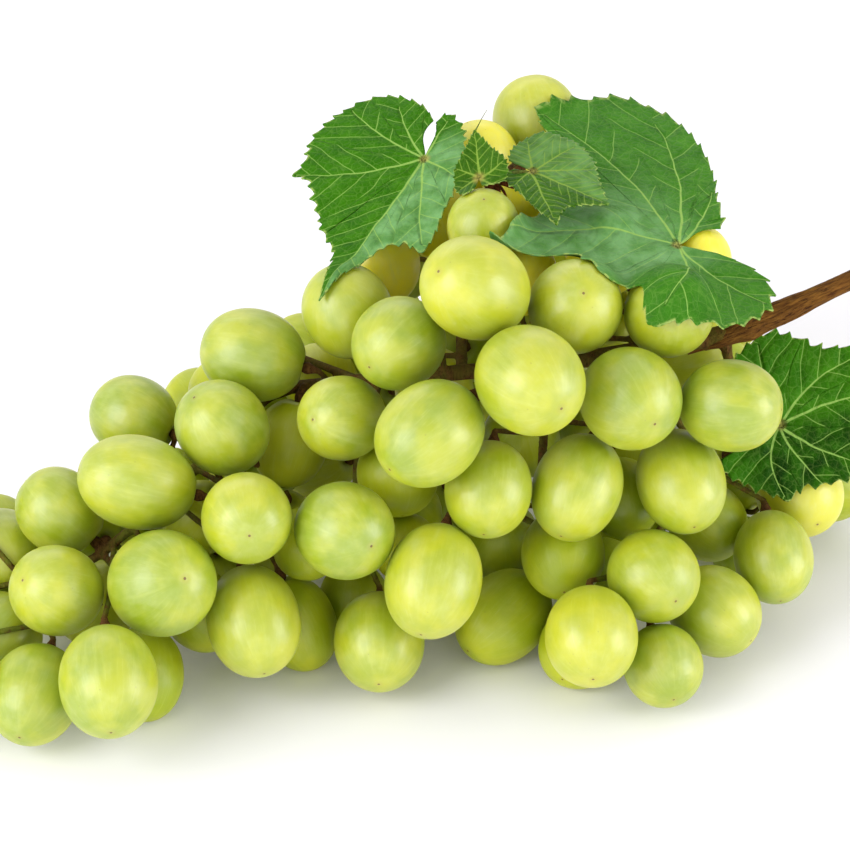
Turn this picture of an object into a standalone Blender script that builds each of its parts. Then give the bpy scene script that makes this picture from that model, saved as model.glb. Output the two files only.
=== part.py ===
"""A bunch of white table grapes lying on its side, with its cane, stalks and five vine leaves.

The bunch lies along X, with its tip at -X and its woody cane at +X, and it rests on z = 0.
Sizes and places in the tables are millimetres, and MM turns them into metres. Directions are
whole-number vectors of any length.
"""
import math

import bmesh
import bpy
import numpy as np
from mathutils import Matrix, Vector

MM = 0.001
CLEAR = 0.35             # space kept between neighbouring pieces
PRESS = 0.4              # how far the surface flattens a berry that carries weight
HOVER = 1.0              # least height of every other berry above the surface
NEIGHBOUR_REACH = 30     # berries whose centres are further apart never touch
SETTLE_ROUNDS = 600
SETTLE_SHARE = 0.55      # share of an overlap that each of the two berries moves in a round
BERRY_SIDES = 12
BERRY_RINGS = 7
HIDDEN_SIDES = 10        # the hidden berries are a little coarser
HIDDEN_RINGS = 5

STALK_SIDES = 1          # bevel resolution of the thin stalks: six sides
CANE_SIDES = 2           # bevel resolution of the woody stalks: eight sides
STALK_RADIUS = 0.8
CUSHION_RADIUS = 1.3     # the swelling where a stalk meets its berry
LINK_RADIUS = 1.1        # stalk between two hidden berries
STALK_LEAD = 3.0         # a stalk leaves its berry straight for this far
BEND_STEP = 7.0          # spacing of the points at which stalks and branches bend round berries
BEND_SPARE = 0.3         # extra room, because a stalk is straight between those points
BEND_ROUNDS = 60
STALK_REACH = 55         # the furthest branch that a stalk may come from
WAY_STEPS = 12           # points at which a stalk's straight way is tested for berries
DETOUR_COST = 12         # millimetres of stalk that a blocked step of its way is worth

BLADE_THICKNESS = 0.5
BLADE_LIFT = 1.1         # height of a blade's middle surface over the berries that carry it
TOOTH_DEPTH = 0.07       # depth of a notch as a share of the radius there
SMOOTH_ROUNDS = 5        # how often a blade is smoothed where it hangs between berries
PETIOLE_RADIUS = 0.9

# The woody parts: each branch is a list of points with the radius at its two ends.
BRANCHES = {
    "cane": ([(66, 12, 66), (76, 15, 69), (94, 21, 75), (112, 27, 81)], 2.0, 1.9),
    "knot": ([(69, 13, 67), (65, 12, 65.5), (61, 12, 64)], 2.6, 2.2),
    "stub": ([(66, 12, 66), (67, 10.5, 60.5)], 1.7, 1.3),
    "rachis": (
        [(66, 12, 66), (45, 12, 58), (25, 6, 56), (8, 6, 64), (-12, 6, 58), (-28, 14, 54),
         (-40, 10, 44), (-50, -8, 37), (-62, -26, 27), (-74, -24, 22), (-86, -22, 21)], 2.3, 1.0),
    "front_branch": ([(28, 7, 57), (31, -2, 46), (25, -6, 33)], 1.3, 1.0),
    "right_branch": ([(45, 12, 58), (53, 6, 48), (59, 3, 38), (66, 6, 33)], 1.3, 1.0),
    "right_low_branch": ([(59, 3, 38), (55, -8, 30), (47, -15, 22)], 1.1, 0.9),
    "left_branch": ([(-12, 5, 58), (-12, -3, 46), (-14, -10, 34)], 1.3, 1.0),
    "top_branch": ([(8, 6, 64), (8, 26, 63), (8, 52, 62)], 1.5, 1.0),
    "back_branch": ([(45, 12, 58), (40, 36, 62), (40, 56, 60)], 1.5, 1.0),
    "back_low_branch": ([(8, 52, 62), (14, 58, 44), (20, 64, 30)], 1.1, 0.9),
    "back_right_branch": ([(40, 56, 60), (48, 62, 48), (52, 64, 38)], 1.1, 0.9),
    "left_back_branch": ([(-12, 5, 58), (-26, 14, 60), (-36, 30, 52)], 1.2, 0.9),
    "shoot": ([(8, 20, 63), (8, 31, 76), (10, 31, 85), (15, 30, 94)], 1.1, 1.0),
    "shoot_node": ([(13.6, 30.4, 93), (16.6, 29.6, 95.5)], 1.7, 1.5),
}
WOODY = ("cane", "knot", "rachis")
BARE_WOOD = ("cane", "knot", "stub", "shoot", "shoot_node")       # they carry no berries
FREE_WOOD = ("cane", "knot", "stub", "shoot_node")                # they pass no berries closely

# Each row is a berry: centre (x, y, z), length, width, direction of its tip.
# A tip of None points straight away from the nearest branch.
BERRIES = [
    ((-62, -20, 48), 26, 20.5, (-9, -1, 3)),
    ((-80, -13, 36), 20, 18.5, (-6, 2, 5)),
    ((-79, -35, 30), 21, 19.5, (-6, -5, 6)),
    ((-56, -38, 34), 25, 23, (4, -6, 5)),
    ((-94, -9, 22), 21, 20, None),
    ((-67, -57, 22), 25, 21, (1, -9, -4)),
    ((-83, -49, 13), 23, 20, (-2, -9, -3)),
    ((-95, -28, 13), 21, 20, None),
    ((-61, -37, 10), 21, 17.5, (0, -7, -7)),
    ((-49, -20, 14), 19, 17.5, None),
    ((-38, 10, 62), 23.5, 20.5, (-9, 1, 2)),
    ((-65, 10, 46), 20, 18.5, None),
    ((-44, -9, 55), 22, 20, (-5, -2, 8)),
    ((-30, 5, 42), 20, 17, (-2, -4, -8)),
    ((-18, -10, 58), 20.5, 18.5, (-6, -7, 4)),
    ((-5, -6, 75), 21, 20, (-6, -8, -1)),
    ((-17, 12, 72), 22, 20, (-3, -2, 8)),
    ((-10, 34, 72), 20, 18, (-2, 2, 9)),
    ((10, -7, 88), 26, 22, (-6, -5, 6)),
    ((2, -28, 66), 25, 21.5, (-7, -7, -3)),
    ((21, -25, 76), 26, 22.5, (5, -9, 0)),
    ((14, -24, 48), 21.5, 19, (-1, -8, -5)),
    ((-17, -30, 42), 23, 21, (5, -8, 2)),
    ((-38, -31, 46), 21, 19.5, (1, -9, 2)),
    ((-37, -35, 22), 25, 20.5, (2, -8, -5)),
    ((-28, -19, 11), 22, 17, (3, -3, -8)),
    ((-10, -30, 13), 23, 20, (0, -9, -3)),
    ((2, -36, 34), 25.5, 21, (-2, -8, -5)),
    ((18, -16, 11), 24, 19.5, (-7, -7, -3)),
    ((32, -19, 46), 24.5, 19.5, (-3, -8, -5)),
    ((30, -16, 26), 21, 18.5, (0, -9, -3)),
    ((55, -14, 42), 24.5, 19.5, (2, -9, -4)),
    ((45, -15, 66), 23, 22, (4, -9, 0)),
    ((33, 0, 80), 22.5, 20.5, (1, -6, 6)),
    ((52, 1, 78), 22.5, 19.5, (1, -7, 6)),
    ((64.8, -12, 62.5), 22.5, 20, (9, -3, 1)),
    ((50, -26, 28), 21, 20, (4, -9, 0)),
    ((37, -40, 22), 23, 20, (0, -9, -3)),
    ((34, -26, 10), 19.5, 18, (-4, -8, -3)),
    ((51, -36, 12), 18.5, 17.5, (2, -9, -3)),
    ((64, -20, 15), 21.5, 19.5, (7, -6, -3)),
    ((65, 6, 20), 19.5, 17.5, (6, -5, -4)),
    ((76, -7, 19.5), 21.5, 17.8, (1, -8, -5)),
    ((85, 13, 24), 22, 20, (3, -9, -2)),
    ((26, 76, 86), 22, 20.5, (-2, 5, 8)),
    ((13, 60, 84), 19.5, 17.5, (-3, 2, 8)),
    ((13, 21, 88), 17.5, 16, (0, -3, 9)),
    ((21, 26, 74), 18, 16.5, (1, 0, 9)),
    ((60, 26, 76), 18, 16.5, (2, 3, 9)),
    ((44, -2, 32), 19, 16.5, (2, -8, -4)),
]

# Berries that share a node, because their neighbours or a leaf hide them: one branch of the bunch
# each, and each berry is joined by a stalk to the nearest one before it in its list.
BERRY_BRANCHES = {
    "berries_under_leaf": [
        ((20, 41, 80), 20, 18.5, (1, 1, 9)),
        ((3, 46, 77), 19.5, 18, (-2, 1, 9)),
        ((-12, 58, 72), 21, 19, (-5, 4, 7)),
        ((38, 54, 78), 20.5, 18.5, (1, 2, 9)),
        ((56, 46, 73), 20, 18.5, (4, 0, 8)),
        ((50, 68, 75), 21, 19, (3, 4, 7)),
        ((40, 26, 79), 20, 18, (0, 0, 9)),
    ],
    "berries_back": [
        ((60, 40, 46), 21, 19.5, (8, 2, 2)),
        ((52, 82, 58), 22, 20, (4, 8, 3)),
        ((30, 90, 64), 22, 20, (1, 9, 3)),
        ((8, 76, 64), 21, 19.5, (-3, 8, 3)),
        ((-8, 64, 56), 21, 19, (-7, 6, 2)),
        ((-15, 45, 47), 21, 19, (-8, 5, 2)),
        ((-28, 58, 34), 20.5, 19, (-7, 6, -1)),
        ((-10, 74, 34), 21.5, 19.5, (-5, 8, -1)),
        ((11, 88, 34), 21.5, 20, (-1, 9, 0)),
        ((34, 97, 35), 22, 20, (1, 9, 0)),
        ((56, 92, 32), 21.5, 20, (4, 8, 0)),
        ((72, 76, 34), 21, 19, (7, 6, 1)),
        ((68, 56, 30), 20, 18, (8, 3, -1)),
    ],
    "berries_beneath": [
        ((94, 32, 14), 20, 18.5, (8, 2, -2)),
        ((90, 52, 10), 21, 19, (8, 3, -2)),
        ((76, 68, 10), 21.5, 19.5, (6, 7, -2)),
        ((57, 84, 10), 21.5, 20, (3, 8, -3)),
        ((34, 90, 10), 21, 19.5, (1, 8, -3)),
        ((10, 82, 10), 21.5, 19.5, (-2, 8, -3)),
        ((-12, 66, 10), 21, 19.5, (-5, 7, -3)),
        ((-26, 50, 10), 21, 19.5, (-7, 5, -3)),
        ((-46, 34, 10), 20, 18.5, (-6, 6, -3)),
        ((-68, 24, 10), 19.5, 18, (-6, 7, -3)),
        ((-58, 14, 24), 20, 18.5, (-2, 8, 2)),
        ((-78, 8, 20), 21, 19.5, (-6, 7, 0)),
        ((-98, 12, 13), 20, 18.5, (-6, 8, -1)),
        ((-108, -12, 36), 20, 18.5, (-8, 2, 4)),
        ((-113, -24, 17), 21.5, 19.5, (-9, -1, -1)),
        ((-106, -46, 18), 20.5, 19, (-6, -7, 0)),
        ((-51, 35, 33), 19.5, 18, (-5, 7, 3)),
        ((-34, 39, 33), 18.5, 17.5, (-3, 7, 4)),
        ((73, 14, 8.6), 16, 15, (2, -8, -4)),
    ],
    "berries_inside": [
        ((-45, 23, 43), 19, 17.5, (-4, 6, 3)),
        ((-37, 22, 26), 20, 18.5, (-3, 6, -4)),
        ((-24, 27, 45), 19, 17.5, (-2, 7, -2)),
        ((2, 22, 46), 20, 18.5, (0, 5, -7)),
        ((24, 26, 50), 20, 18.5, (1, 7, -4)),
        ((47, 24, 34), 20, 18.5, (1, 4, -7)),
        ((22, 26, 30), 20, 18.5, (0, 4, -7)),
        ((73, 29, 19), 20, 18.5, (3, 4, -6)),
        ((46, 14, 14), 20, 18.5, (0, 2, -8)),
        ((17, 7, 15), 20, 18.5, (0, 3, -8)),
        ((-6, -8, 42), 19.5, 18, (1, -6, -6)),
        ((-5, 8, 21), 20, 18.5, (1, 4, -8)),
        ((-33, 3, 20), 20, 18.5, (-2, 3, -8)),
        ((-16, -7, 9.6), 17, 16, (0, -2, -9)),
        ((5, 23, 12), 20, 18.5, (0, 3, -8)),
        ((34, 44, 28), 20, 18.5, (1, 3, -8)),
        ((42, 30, 58), 18, 16.5, (1, 7, -2)),
        ((-50, -4, 28), 18, 16.5, (-4, 1, -7)),
        ((-73, -14, 12), 20, 18.5, (-5, -3, -7)),
        ((-49, 2, 11), 18, 17, (-3, 2, -8)),
        ((9, 43, 45), 19, 18, (-1, 7, -4)),
        ((24, 48, 49), 19, 17.5, (1, 7, -3)),
        ((-26, -16, 29), 16.5, 15.5, (-1, -5, -7)),
        ((-4.5, -11, 25.5), 15.5, 15, (0, -5, -8)),
        ((40, -4, 12), 18.5, 17.5, (1, -4, -8)),
        ((-10, 52, 29), 19, 18, (-2, 7, -3)),
    ],
}

# The berries that carry the bunch: those whose centre is this low or lower stand on the surface.
RESTING_CENTRE = 11

# Each leaf: where its petiole meets the blade, the direction of its middle vein, its upper side,
# its outline as (angle from the middle vein, radius), how it droops and folds, whether it lies on
# the berries or only keeps clear of them, and its petiole's points from the blade to the wood.
LEAVES = {
    "leaf_left": {
        "junction": (0, 43, 93), "along": (-23, -40, -14), "up": (-2, -2, 9),
        "outline": [(-160, 12.5), (-150, 18), (-132, 26), (-107, 27), (-86, 28), (-76, 27.5), (-65, 31),
                    (-57, 25.5), (-43, 26), (-20, 30), (-7, 33), (0, 48), (5, 34), (11, 28), (19, 26),
                    (28, 31), (35, 25), (52, 16.5), (67, 12.5), (100, 9), (143, 10), (170, 13),
                    (190, 16.5), (197, 12.5)],
        "droop": 0.004, "fold": 0.12, "lies_on_berries": True, "rings": 5,
        "petiole": [(0, 43, 93), (3, 40.5, 91.5), (9, 35, 90), (11.8, 31.9, 90)],
    },
    "leaf_big": {
        "junction": (55.2, 18, 85), "along": (-29, 52, 8), "up": (1, -1.4, 9),
        "outline": [(-84, 12.3), (-74, 14.5), (-66, 17), (-58, 20), (-47, 32.5), (-36, 46.3), (-28, 54),
                    (-20, 59), (-12, 59), (2.2, 58.5), (4.5, 48.5), (8, 40), (18, 34), (30, 30), (44, 31),
                    (58, 35), (74, 43), (75, 35), (80, 29), (90, 26), (103, 26), (112, 26.5), (120, 20.5),
                    (127, 21.5), (136, 31),
                    (155, 28), (171, 31), (182, 29), (192, 28), (206, 24), (214, 20), (222, 15), (229, 9)],
        "droop": 0.004, "fold": 0.06, "lies_on_berries": True, "rings": 5,
        "petiole": [(55.2, 18, 85), (60, 15, 82), (65, 12.5, 75), (66.5, 12.3, 69.8)],
    },
    "leaf_right": {
        "junction": (79.5, 12, 42.6), "along": (20, 4, 3), "up": (1, -8, 6),
        "outline": [(-163, 15.5), (-151, 16.8), (-137, 15.3), (-125, 15.3), (-109, 15.3), (-98, 17.5),
                    (-84, 14), (-68, 16.3), (-55, 18.5),
                    (-36, 24), (-18, 25), (0, 32), (16, 26), (32, 25), (48, 19), (66, 20), (84, 21),
                    (100, 19), (120, 17), (140, 17), (152, 14), (172, 9), (190, 7)],
        "droop": 0.004, "fold": 0.08, "lies_on_berries": False, "rings": 4,
        "petiole": [(79.5, 12, 42.6), (76, 10.5, 45), (71, 9, 51), (67.5, 10.3, 57.5),
                     (67.1, 10.45, 59.9)],
    },
    "leaf_young_left": {
        "junction": (12.2, 27.5, 96.5), "along": (-3, 4, 6), "up": (-2, -7, 5),
        "outline": [(-150, 4), (-120, 6), (-90, 6), (-60, 8), (-30, 7), (0, 11), (30, 6), (60, 6),
                    (90, 5), (120, 5), (150, 4), (180, 2.5)],
        "droop": 0.01, "fold": 0.35, "lies_on_berries": False, "rings": 2,
        "petiole": [(12.2, 27.5, 96.5), (12.6, 27.7, 96), (13.1, 28, 95.4)],
    },
    "leaf_young_right": {
        "junction": (23.6, 30.2, 96.8), "along": (15, -12, -1), "up": (2, -3, 9),
        "outline": [(-150, 4), (-120, 7), (-95, 7), (-62, 10), (-48, 14), (-38, 21), (-26, 15),
                    (-12, 16), (0, 21), (20, 15), (45, 14), (70, 14), (93, 14.5), (120, 15),
                    (150, 11), (175, 7)],
        "droop": 0.006, "fold": 0.12, "lies_on_berries": False, "rings": 3,
        "petiole": [(23.6, 30.2, 96.8), (20.5, 29.5, 97.2), (17.4, 29.4, 96.2)],
    },
}


def clear_scene():
    for thing in list(bpy.data.objects):
        bpy.data.objects.remove(thing, do_unlink=True)


def new_collection(name):
    collection = bpy.data.collections.new(name)
    bpy.context.scene.collection.children.link(collection)
    return collection


def finish(name, color, roughness):
    material = bpy.data.materials.new(name)
    material.use_nodes = True
    shader = material.node_tree.nodes["Principled BSDF"]
    shader.inputs["Base Color"].default_value = (*color, 1.0)
    shader.inputs["Roughness"].default_value = roughness
    material.diffuse_color = (*color, 1.0)
    return material


def unit(vector):
    vector = np.asarray(vector, dtype=float)
    return vector / np.linalg.norm(vector)


# --- the berries' places -----------------------------------------------------------------------

def resample(route, step):
    """The same route with points no further apart than the step."""
    points = [np.array(route[0], dtype=float)]
    for start, end in zip(route, route[1:]):
        start, end = np.array(start, dtype=float), np.array(end, dtype=float)
        count = math.ceil(np.linalg.norm(end - start) / step)
        points.extend(start + (end - start) * k / count for k in range(1, count + 1))
    return np.array(points)


def wood_points(routes):
    """Points every two millimetres or so along the branches that carry berries."""
    return np.vstack([resample(route, 2) for name, route in routes.items() if name not in BARE_WOOD])


class Berries:
    """All the berries as spheroids: centres, half lengths, half widths and tip directions."""

    def __init__(self, rows, wood):
        self.centre = np.array([row[0] for row in rows], dtype=float)
        self.long = np.array([row[1] for row in rows]) / 2
        self.wide = np.array([row[2] for row in rows]) / 2
        self.tip = np.array([self.tip_direction(row, wood) for row in rows])
        self.rests = self.centre[:, 2] <= RESTING_CENTRE
        self.settle()

    @staticmethod
    def tip_direction(row, wood):
        if row[3] is not None:
            return unit(row[3])
        nearest = wood[np.argmin(np.linalg.norm(wood - np.array(row[0]), axis=1))]
        return unit(np.array(row[0]) - nearest)

    def reach(self, which, direction):
        """How far each berry extends from its centre in the given directions."""
        along = np.sum(self.tip[which] * direction, axis=1)
        return np.sqrt(self.wide[which] ** 2 + (self.long[which] ** 2 - self.wide[which] ** 2) * along ** 2)

    def surface(self, which, direction):
        """The outermost point of each berry in the given directions, from its centre."""
        along = np.sum(self.tip[which] * direction, axis=1)
        stretch = (self.long[which] ** 2 - self.wide[which] ** 2) * along
        point = self.wide[which][:, None] ** 2 * direction + stretch[:, None] * self.tip[which]
        return point / self.reach(which, direction)[:, None]

    def gaps(self, first, second):
        """The gap between two lists of berries and the direction from one to the other."""
        offset = self.centre[second] - self.centre[first]
        distance = np.linalg.norm(offset, axis=1)[:, None]
        direction = offset / distance
        for _ in range(8):
            slope = offset - self.surface(first, direction) - self.surface(second, direction)
            slope -= np.sum(slope * direction, axis=1)[:, None] * direction
            direction = direction + 0.8 * slope / distance
            direction /= np.linalg.norm(direction, axis=1)[:, None]
        apart = np.sum(offset * direction, axis=1)
        return apart - self.reach(first, direction) - self.reach(second, direction), direction

    def settle(self):
        """Move neighbours apart until every pair keeps its clearance and all stay off the surface."""
        first, second = np.triu_indices(len(self.centre), 1)
        upright = np.tile([0.0, 0.0, 1.0], (len(self.centre), 1))
        everyone = np.arange(len(self.centre))
        height = self.reach(everyone, upright)
        for _ in range(SETTLE_ROUNDS):
            distance = np.linalg.norm(self.centre[second] - self.centre[first], axis=1)
            near = distance < NEIGHBOUR_REACH
            one, other = first[near], second[near]
            gap, direction = self.gaps(one, other)
            tight = gap < CLEAR
            if not tight.any():
                break
            push = SETTLE_SHARE * (CLEAR + 0.01 - gap[tight])[:, None] * direction[tight]
            np.add.at(self.centre, one[tight], -push)
            np.add.at(self.centre, other[tight], push)
            lowest = np.where(self.rests, height - PRESS, height + HOVER)
            self.centre[:, 2] = np.where(self.rests, lowest, np.maximum(self.centre[:, 2], lowest))

    def scaled(self, points, margin):
        """Each point in each berry's own round frame: a length under 1 is inside the margin."""
        offset = points[:, None, :] - self.centre[None, :, :]
        along = np.sum(offset * self.tip[None, :, :], axis=2)
        across = offset - along[:, :, None] * self.tip[None, :, :]
        across_length = np.linalg.norm(across, axis=2)
        return np.hypot(along / (self.long + margin), across_length / (self.wide + margin))

    def push_out(self, points, margin):
        """Move points that are nearer a berry than the margin straight out from its centre."""
        moved = points.copy()
        for _ in range(6):
            depth = self.scaled(moved, margin)
            centre = self.centre[np.argmin(depth, axis=1)]
            deepest = np.clip(depth.min(axis=1), 0.05, 1)[:, None]
            moved = centre + (moved - centre) / deepest
        return moved

    def lift_over(self, points, direction, margin, only_inside):
        """How far each point must move along a direction to clear the berries in its way."""
        long = self.long + margin
        wide = self.wide + margin
        offset = points[:, None, :] - self.centre[None, :, :]
        along = np.sum(offset * self.tip[None, :, :], axis=2)
        rise = self.tip @ direction
        a = (rise / long) ** 2 + (1 - rise ** 2) / wide ** 2
        b = along * rise / long ** 2 + (offset @ direction - along * rise) / wide ** 2
        c = (along / long) ** 2 + (np.sum(offset ** 2, axis=2) - along ** 2) / wide ** 2 - 1
        inside = b ** 2 - a * c
        root = np.sqrt(np.maximum(inside, 0))
        leave = (-b + root) / a
        enter = (-b - root) / a
        hit = (inside > 0) & (leave > 0)
        if only_inside:
            hit &= enter < 0
        return np.where(hit, leave, 0).max(axis=1)


# --- solids ------------------------------------------------------------------------------------

def add_object(name, mesh, collection, material=None):
    thing = bpy.data.objects.new(name, mesh)
    collection.objects.link(thing)
    if material:
        mesh.materials.append(material)
    return thing


def make_cutter(thing):
    thing.hide_render = True
    thing.display_type = "WIRE"


def union_with(thing, others, name):
    """Join a solid with the solids of a collection by one Boolean union."""
    cutters = new_collection(name + "_joined")
    for other in others:
        for old in list(other.users_collection):
            old.objects.unlink(other)
        cutters.objects.link(other)
        make_cutter(other)
    union = thing.modifiers.new("join", "BOOLEAN")
    union.operation = "UNION"
    union.operand_type = "COLLECTION"
    union.collection = cutters
    union.solver = "EXACT"


def berry_solid(name, berries, index, grid, collection, material):
    """One berry, its tip along its own +Z, flattened where it stands on the surface."""
    shape = bmesh.new()
    bmesh.ops.create_uvsphere(shape, u_segments=grid[0], v_segments=grid[1], radius=MM)
    wide, long = berries.wide[index], berries.long[index]
    bmesh.ops.scale(shape, vec=(wide, wide, long), verts=shape.verts)
    place = Vector(berries.centre[index]) * MM
    turn = Vector((0, 0, 1)).rotation_difference(Vector(berries.tip[index])).to_matrix()
    if berries.rests[index]:
        bmesh.ops.rotate(shape, cent=(0, 0, 0), matrix=turn, verts=shape.verts)
        cut = bmesh.ops.bisect_plane(
            shape, geom=shape.verts[:] + shape.edges[:] + shape.faces[:],
            plane_co=(0, 0, -place.z), plane_no=(0, 0, 1), clear_inner=True)
        rim = [part for part in cut["geom_cut"] if isinstance(part, bmesh.types.BMEdge)]
        bmesh.ops.holes_fill(shape, edges=rim)
        turn = Matrix.Identity(3)
    mesh = bpy.data.meshes.new(name)
    shape.to_mesh(mesh)
    shape.free()
    mesh.shade_smooth()
    thing = add_object(name, mesh, collection, material)
    thing.location = place
    thing.rotation_euler = turn.to_euler()
    return thing


def tube(name, points, radii, sides, collection):
    """A closed tube through the points, as a mesh with welded caps."""
    curve = bpy.data.curves.new(name, "CURVE")
    curve.dimensions = "3D"
    curve.bevel_depth = MM
    curve.bevel_resolution = sides
    curve.use_fill_caps = True
    spline = curve.splines.new("POLY")
    spline.points.add(len(points) - 1)
    for knot, point, radius in zip(spline.points, points, radii):
        knot.co = (*(np.array(point, dtype=float) * MM), 1)
        knot.radius = radius
    guide = bpy.data.objects.new(name + "_curve", curve)
    collection.objects.link(guide)
    evaluated = guide.evaluated_get(bpy.context.evaluated_depsgraph_get())
    mesh = bpy.data.meshes.new_from_object(evaluated)
    mesh.name = name
    bpy.data.objects.remove(guide)
    weld = bmesh.new()
    weld.from_mesh(mesh)
    bmesh.ops.remove_doubles(weld, verts=weld.verts, dist=0.00001)
    weld.to_mesh(mesh)
    weld.free()
    mesh.shade_smooth()
    return add_object(name, mesh, collection)


def bend_round(berries, route, radius, held):
    """Bend a route round the berries near it; its first and last points, as many as held, stay."""
    margin = radius + CLEAR + BEND_SPARE
    first, last = held
    inner = slice(first, len(route) - last)
    for _ in range(BEND_ROUNDS):
        if len(route) > first + last:
            before = route[first - 1:len(route) - last - 1]
            after = route[first + 1:len(route) - last + 1]
            route[inner] = 0.5 * route[inner] + 0.25 * (before + after)
            route[inner] = berries.push_out(route[inner], margin)
    return route


def branch_routes(berries):
    """Every branch, bent round the berries where it passes them, from the wood before it."""
    routes = {}
    for name, (points, thick, _) in BRANCHES.items():
        if name not in FREE_WOOD and name != "rachis":
            wood = wood_points(routes)
            start = wood[np.argmin(np.linalg.norm(wood - np.array(points[0]), axis=1))]
            points = [start, *points[1:]]
        route = resample(points, BEND_STEP)
        routes[name] = route if name in FREE_WOOD else bend_round(berries, route, thick, (1, 1))
    return routes


def stalk_route(berries, index, wood):
    """A berry's stalk, from just off its base to the branch with the shortest clear way to it."""
    centre, tip = berries.centre[index], berries.tip[index]
    start = centre - tip * (berries.long[index] + CLEAR)
    lead = start - tip * STALK_LEAD
    distance = np.linalg.norm(wood - lead, axis=1)
    ends = wood[distance < STALK_REACH]
    cost = distance[distance < STALK_REACH]
    steps = np.linspace(0, 1, WAY_STEPS)
    ways = lead + (ends - lead)[:, None, :] * steps[:, None]
    depth = berries.scaled(ways.reshape(-1, 3), STALK_RADIUS + CLEAR).min(axis=1)
    blocked = np.clip(1 - depth, 0, 1).reshape(len(ends), len(steps)).sum(axis=1)
    end = ends[np.argmin(cost + DETOUR_COST * blocked)]
    route = np.vstack([start, resample([lead, end], BEND_STEP)])
    return bend_round(berries, route, STALK_RADIUS, (2, 1))


def build_stem(berries, singles, parts, cutters, material):
    """The cane, the main stalk, its branches and the stalks of the berries, as one solid."""
    pieces = []
    routes = branch_routes(berries)
    wood = wood_points(routes)
    for name, route in routes.items():
        radii = np.linspace(*BRANCHES[name][1:], len(route))
        sides = CANE_SIDES if name in WOODY else STALK_SIDES
        pieces.append(tube(name, route, radii, sides, cutters))
    for index in range(singles):
        route = stalk_route(berries, index, wood)
        radii = [CUSHION_RADIUS] + [STALK_RADIUS] * (len(route) - 1)
        pieces.append(tube(f"stalk_{index + 1:02d}", route, radii, STALK_SIDES, cutters))
    rachis = next(piece for piece in pieces if piece.name == "rachis")
    pieces.remove(rachis)
    rachis.name = "stem"
    cutters.objects.unlink(rachis)
    parts.objects.link(rachis)
    rachis.data.materials.append(material)
    union_with(rachis, pieces, "stem")


def build_berry_branch(name, berries, members, parts, cutters, material):
    """A hidden branch of berries: each joined by a straight stalk to the nearest one before it."""
    grid = (HIDDEN_SIDES, HIDDEN_RINGS)
    first = berry_solid(name, berries, members[0], grid, parts, material)
    others = []
    for place, index in enumerate(members[1:], start=1):
        before = members[:place]
        distances = np.linalg.norm(berries.centre[before] - berries.centre[index], axis=1)
        nearest = before[int(np.argmin(distances))]
        others.append(berry_solid(f"{name}_{place}", berries, index, grid, cutters, material))
        ends = [berries.centre[nearest], berries.centre[index]]
        others.append(tube(f"{name}_link_{place}", ends, [LINK_RADIUS] * 2, STALK_SIDES, cutters))
    union_with(first, others, name)


# --- leaves ------------------------------------------------------------------------------------

def blade_edge(leaf):
    """The blade's edge as angles and radii: its named corners with a notch between each two."""
    angles, lengths = np.array(leaf["outline"], dtype=float).T
    between = (angles[:-1] + angles[1:]) / 2
    notches = (lengths[:-1] + lengths[1:]) / 2 * (1 - TOOTH_DEPTH)
    order = np.argsort(np.concatenate([angles, between]))
    return (np.radians(np.concatenate([angles, between])[order]),
            np.concatenate([lengths, notches])[order])


def blade_points(leaf, berries):
    """The blade's middle surface: rings of points from the petiole out to the toothed edge."""
    along = unit(leaf["along"])
    up = np.array(leaf["up"], dtype=float)
    up = unit(up - np.dot(up, along) * along)
    side = np.cross(up, along)
    angles, edge = blade_edge(leaf)
    rings = np.linspace(0, 1, leaf["rings"] + 1)[1:, None]
    u = rings * edge * np.cos(angles)
    v = rings * edge * np.sin(angles)
    height = -leaf["droop"] * (u ** 2 + v ** 2) + leaf["fold"] * np.abs(v)
    flat = np.array(leaf["junction"], dtype=float) + u[..., None] * along + v[..., None] * side
    need = berries.lift_over(
        flat.reshape(-1, 3), up, BLADE_LIFT, not leaf["lies_on_berries"]).reshape(u.shape)
    height = np.maximum(height, need)
    for _ in range(SMOOTH_ROUNDS):
        smooth = height.copy()
        smooth[1:-1] = (height[:-2] + height[2:] + 2 * height[1:-1]) / 4
        smooth[:, 1:-1] = (smooth[:, :-2] + smooth[:, 2:] + 2 * smooth[:, 1:-1]) / 4
        height = np.maximum(smooth, need)
    return flat + height[..., None] * up


def build_leaf(name, leaf, berries, parts, cutters, material):
    points = blade_points(leaf, berries)
    shape = bmesh.new()
    middle = shape.verts.new(Vector(leaf["junction"]) * MM)
    rings = [[shape.verts.new(Vector(point) * MM) for point in ring] for ring in points]
    for left, right in zip(rings[0], rings[0][1:]):
        shape.faces.new((middle, left, right))
    for inner, outer in zip(rings, rings[1:]):
        for k in range(len(inner) - 1):
            shape.faces.new((inner[k], outer[k], outer[k + 1], inner[k + 1]))
    mesh = bpy.data.meshes.new(name)
    shape.to_mesh(mesh)
    shape.free()
    mesh.shade_smooth()
    blade = add_object(name, mesh, parts, material)
    thicken = blade.modifiers.new("thickness", "SOLIDIFY")
    thicken.thickness = BLADE_THICKNESS * MM
    thicken.offset = 0
    radii = [PETIOLE_RADIUS * 0.8] + [PETIOLE_RADIUS] * (len(leaf["petiole"]) - 1)
    petiole = tube(name + "_petiole", leaf["petiole"], radii, STALK_SIDES, cutters)
    union_with(blade, [petiole], name)


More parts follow.
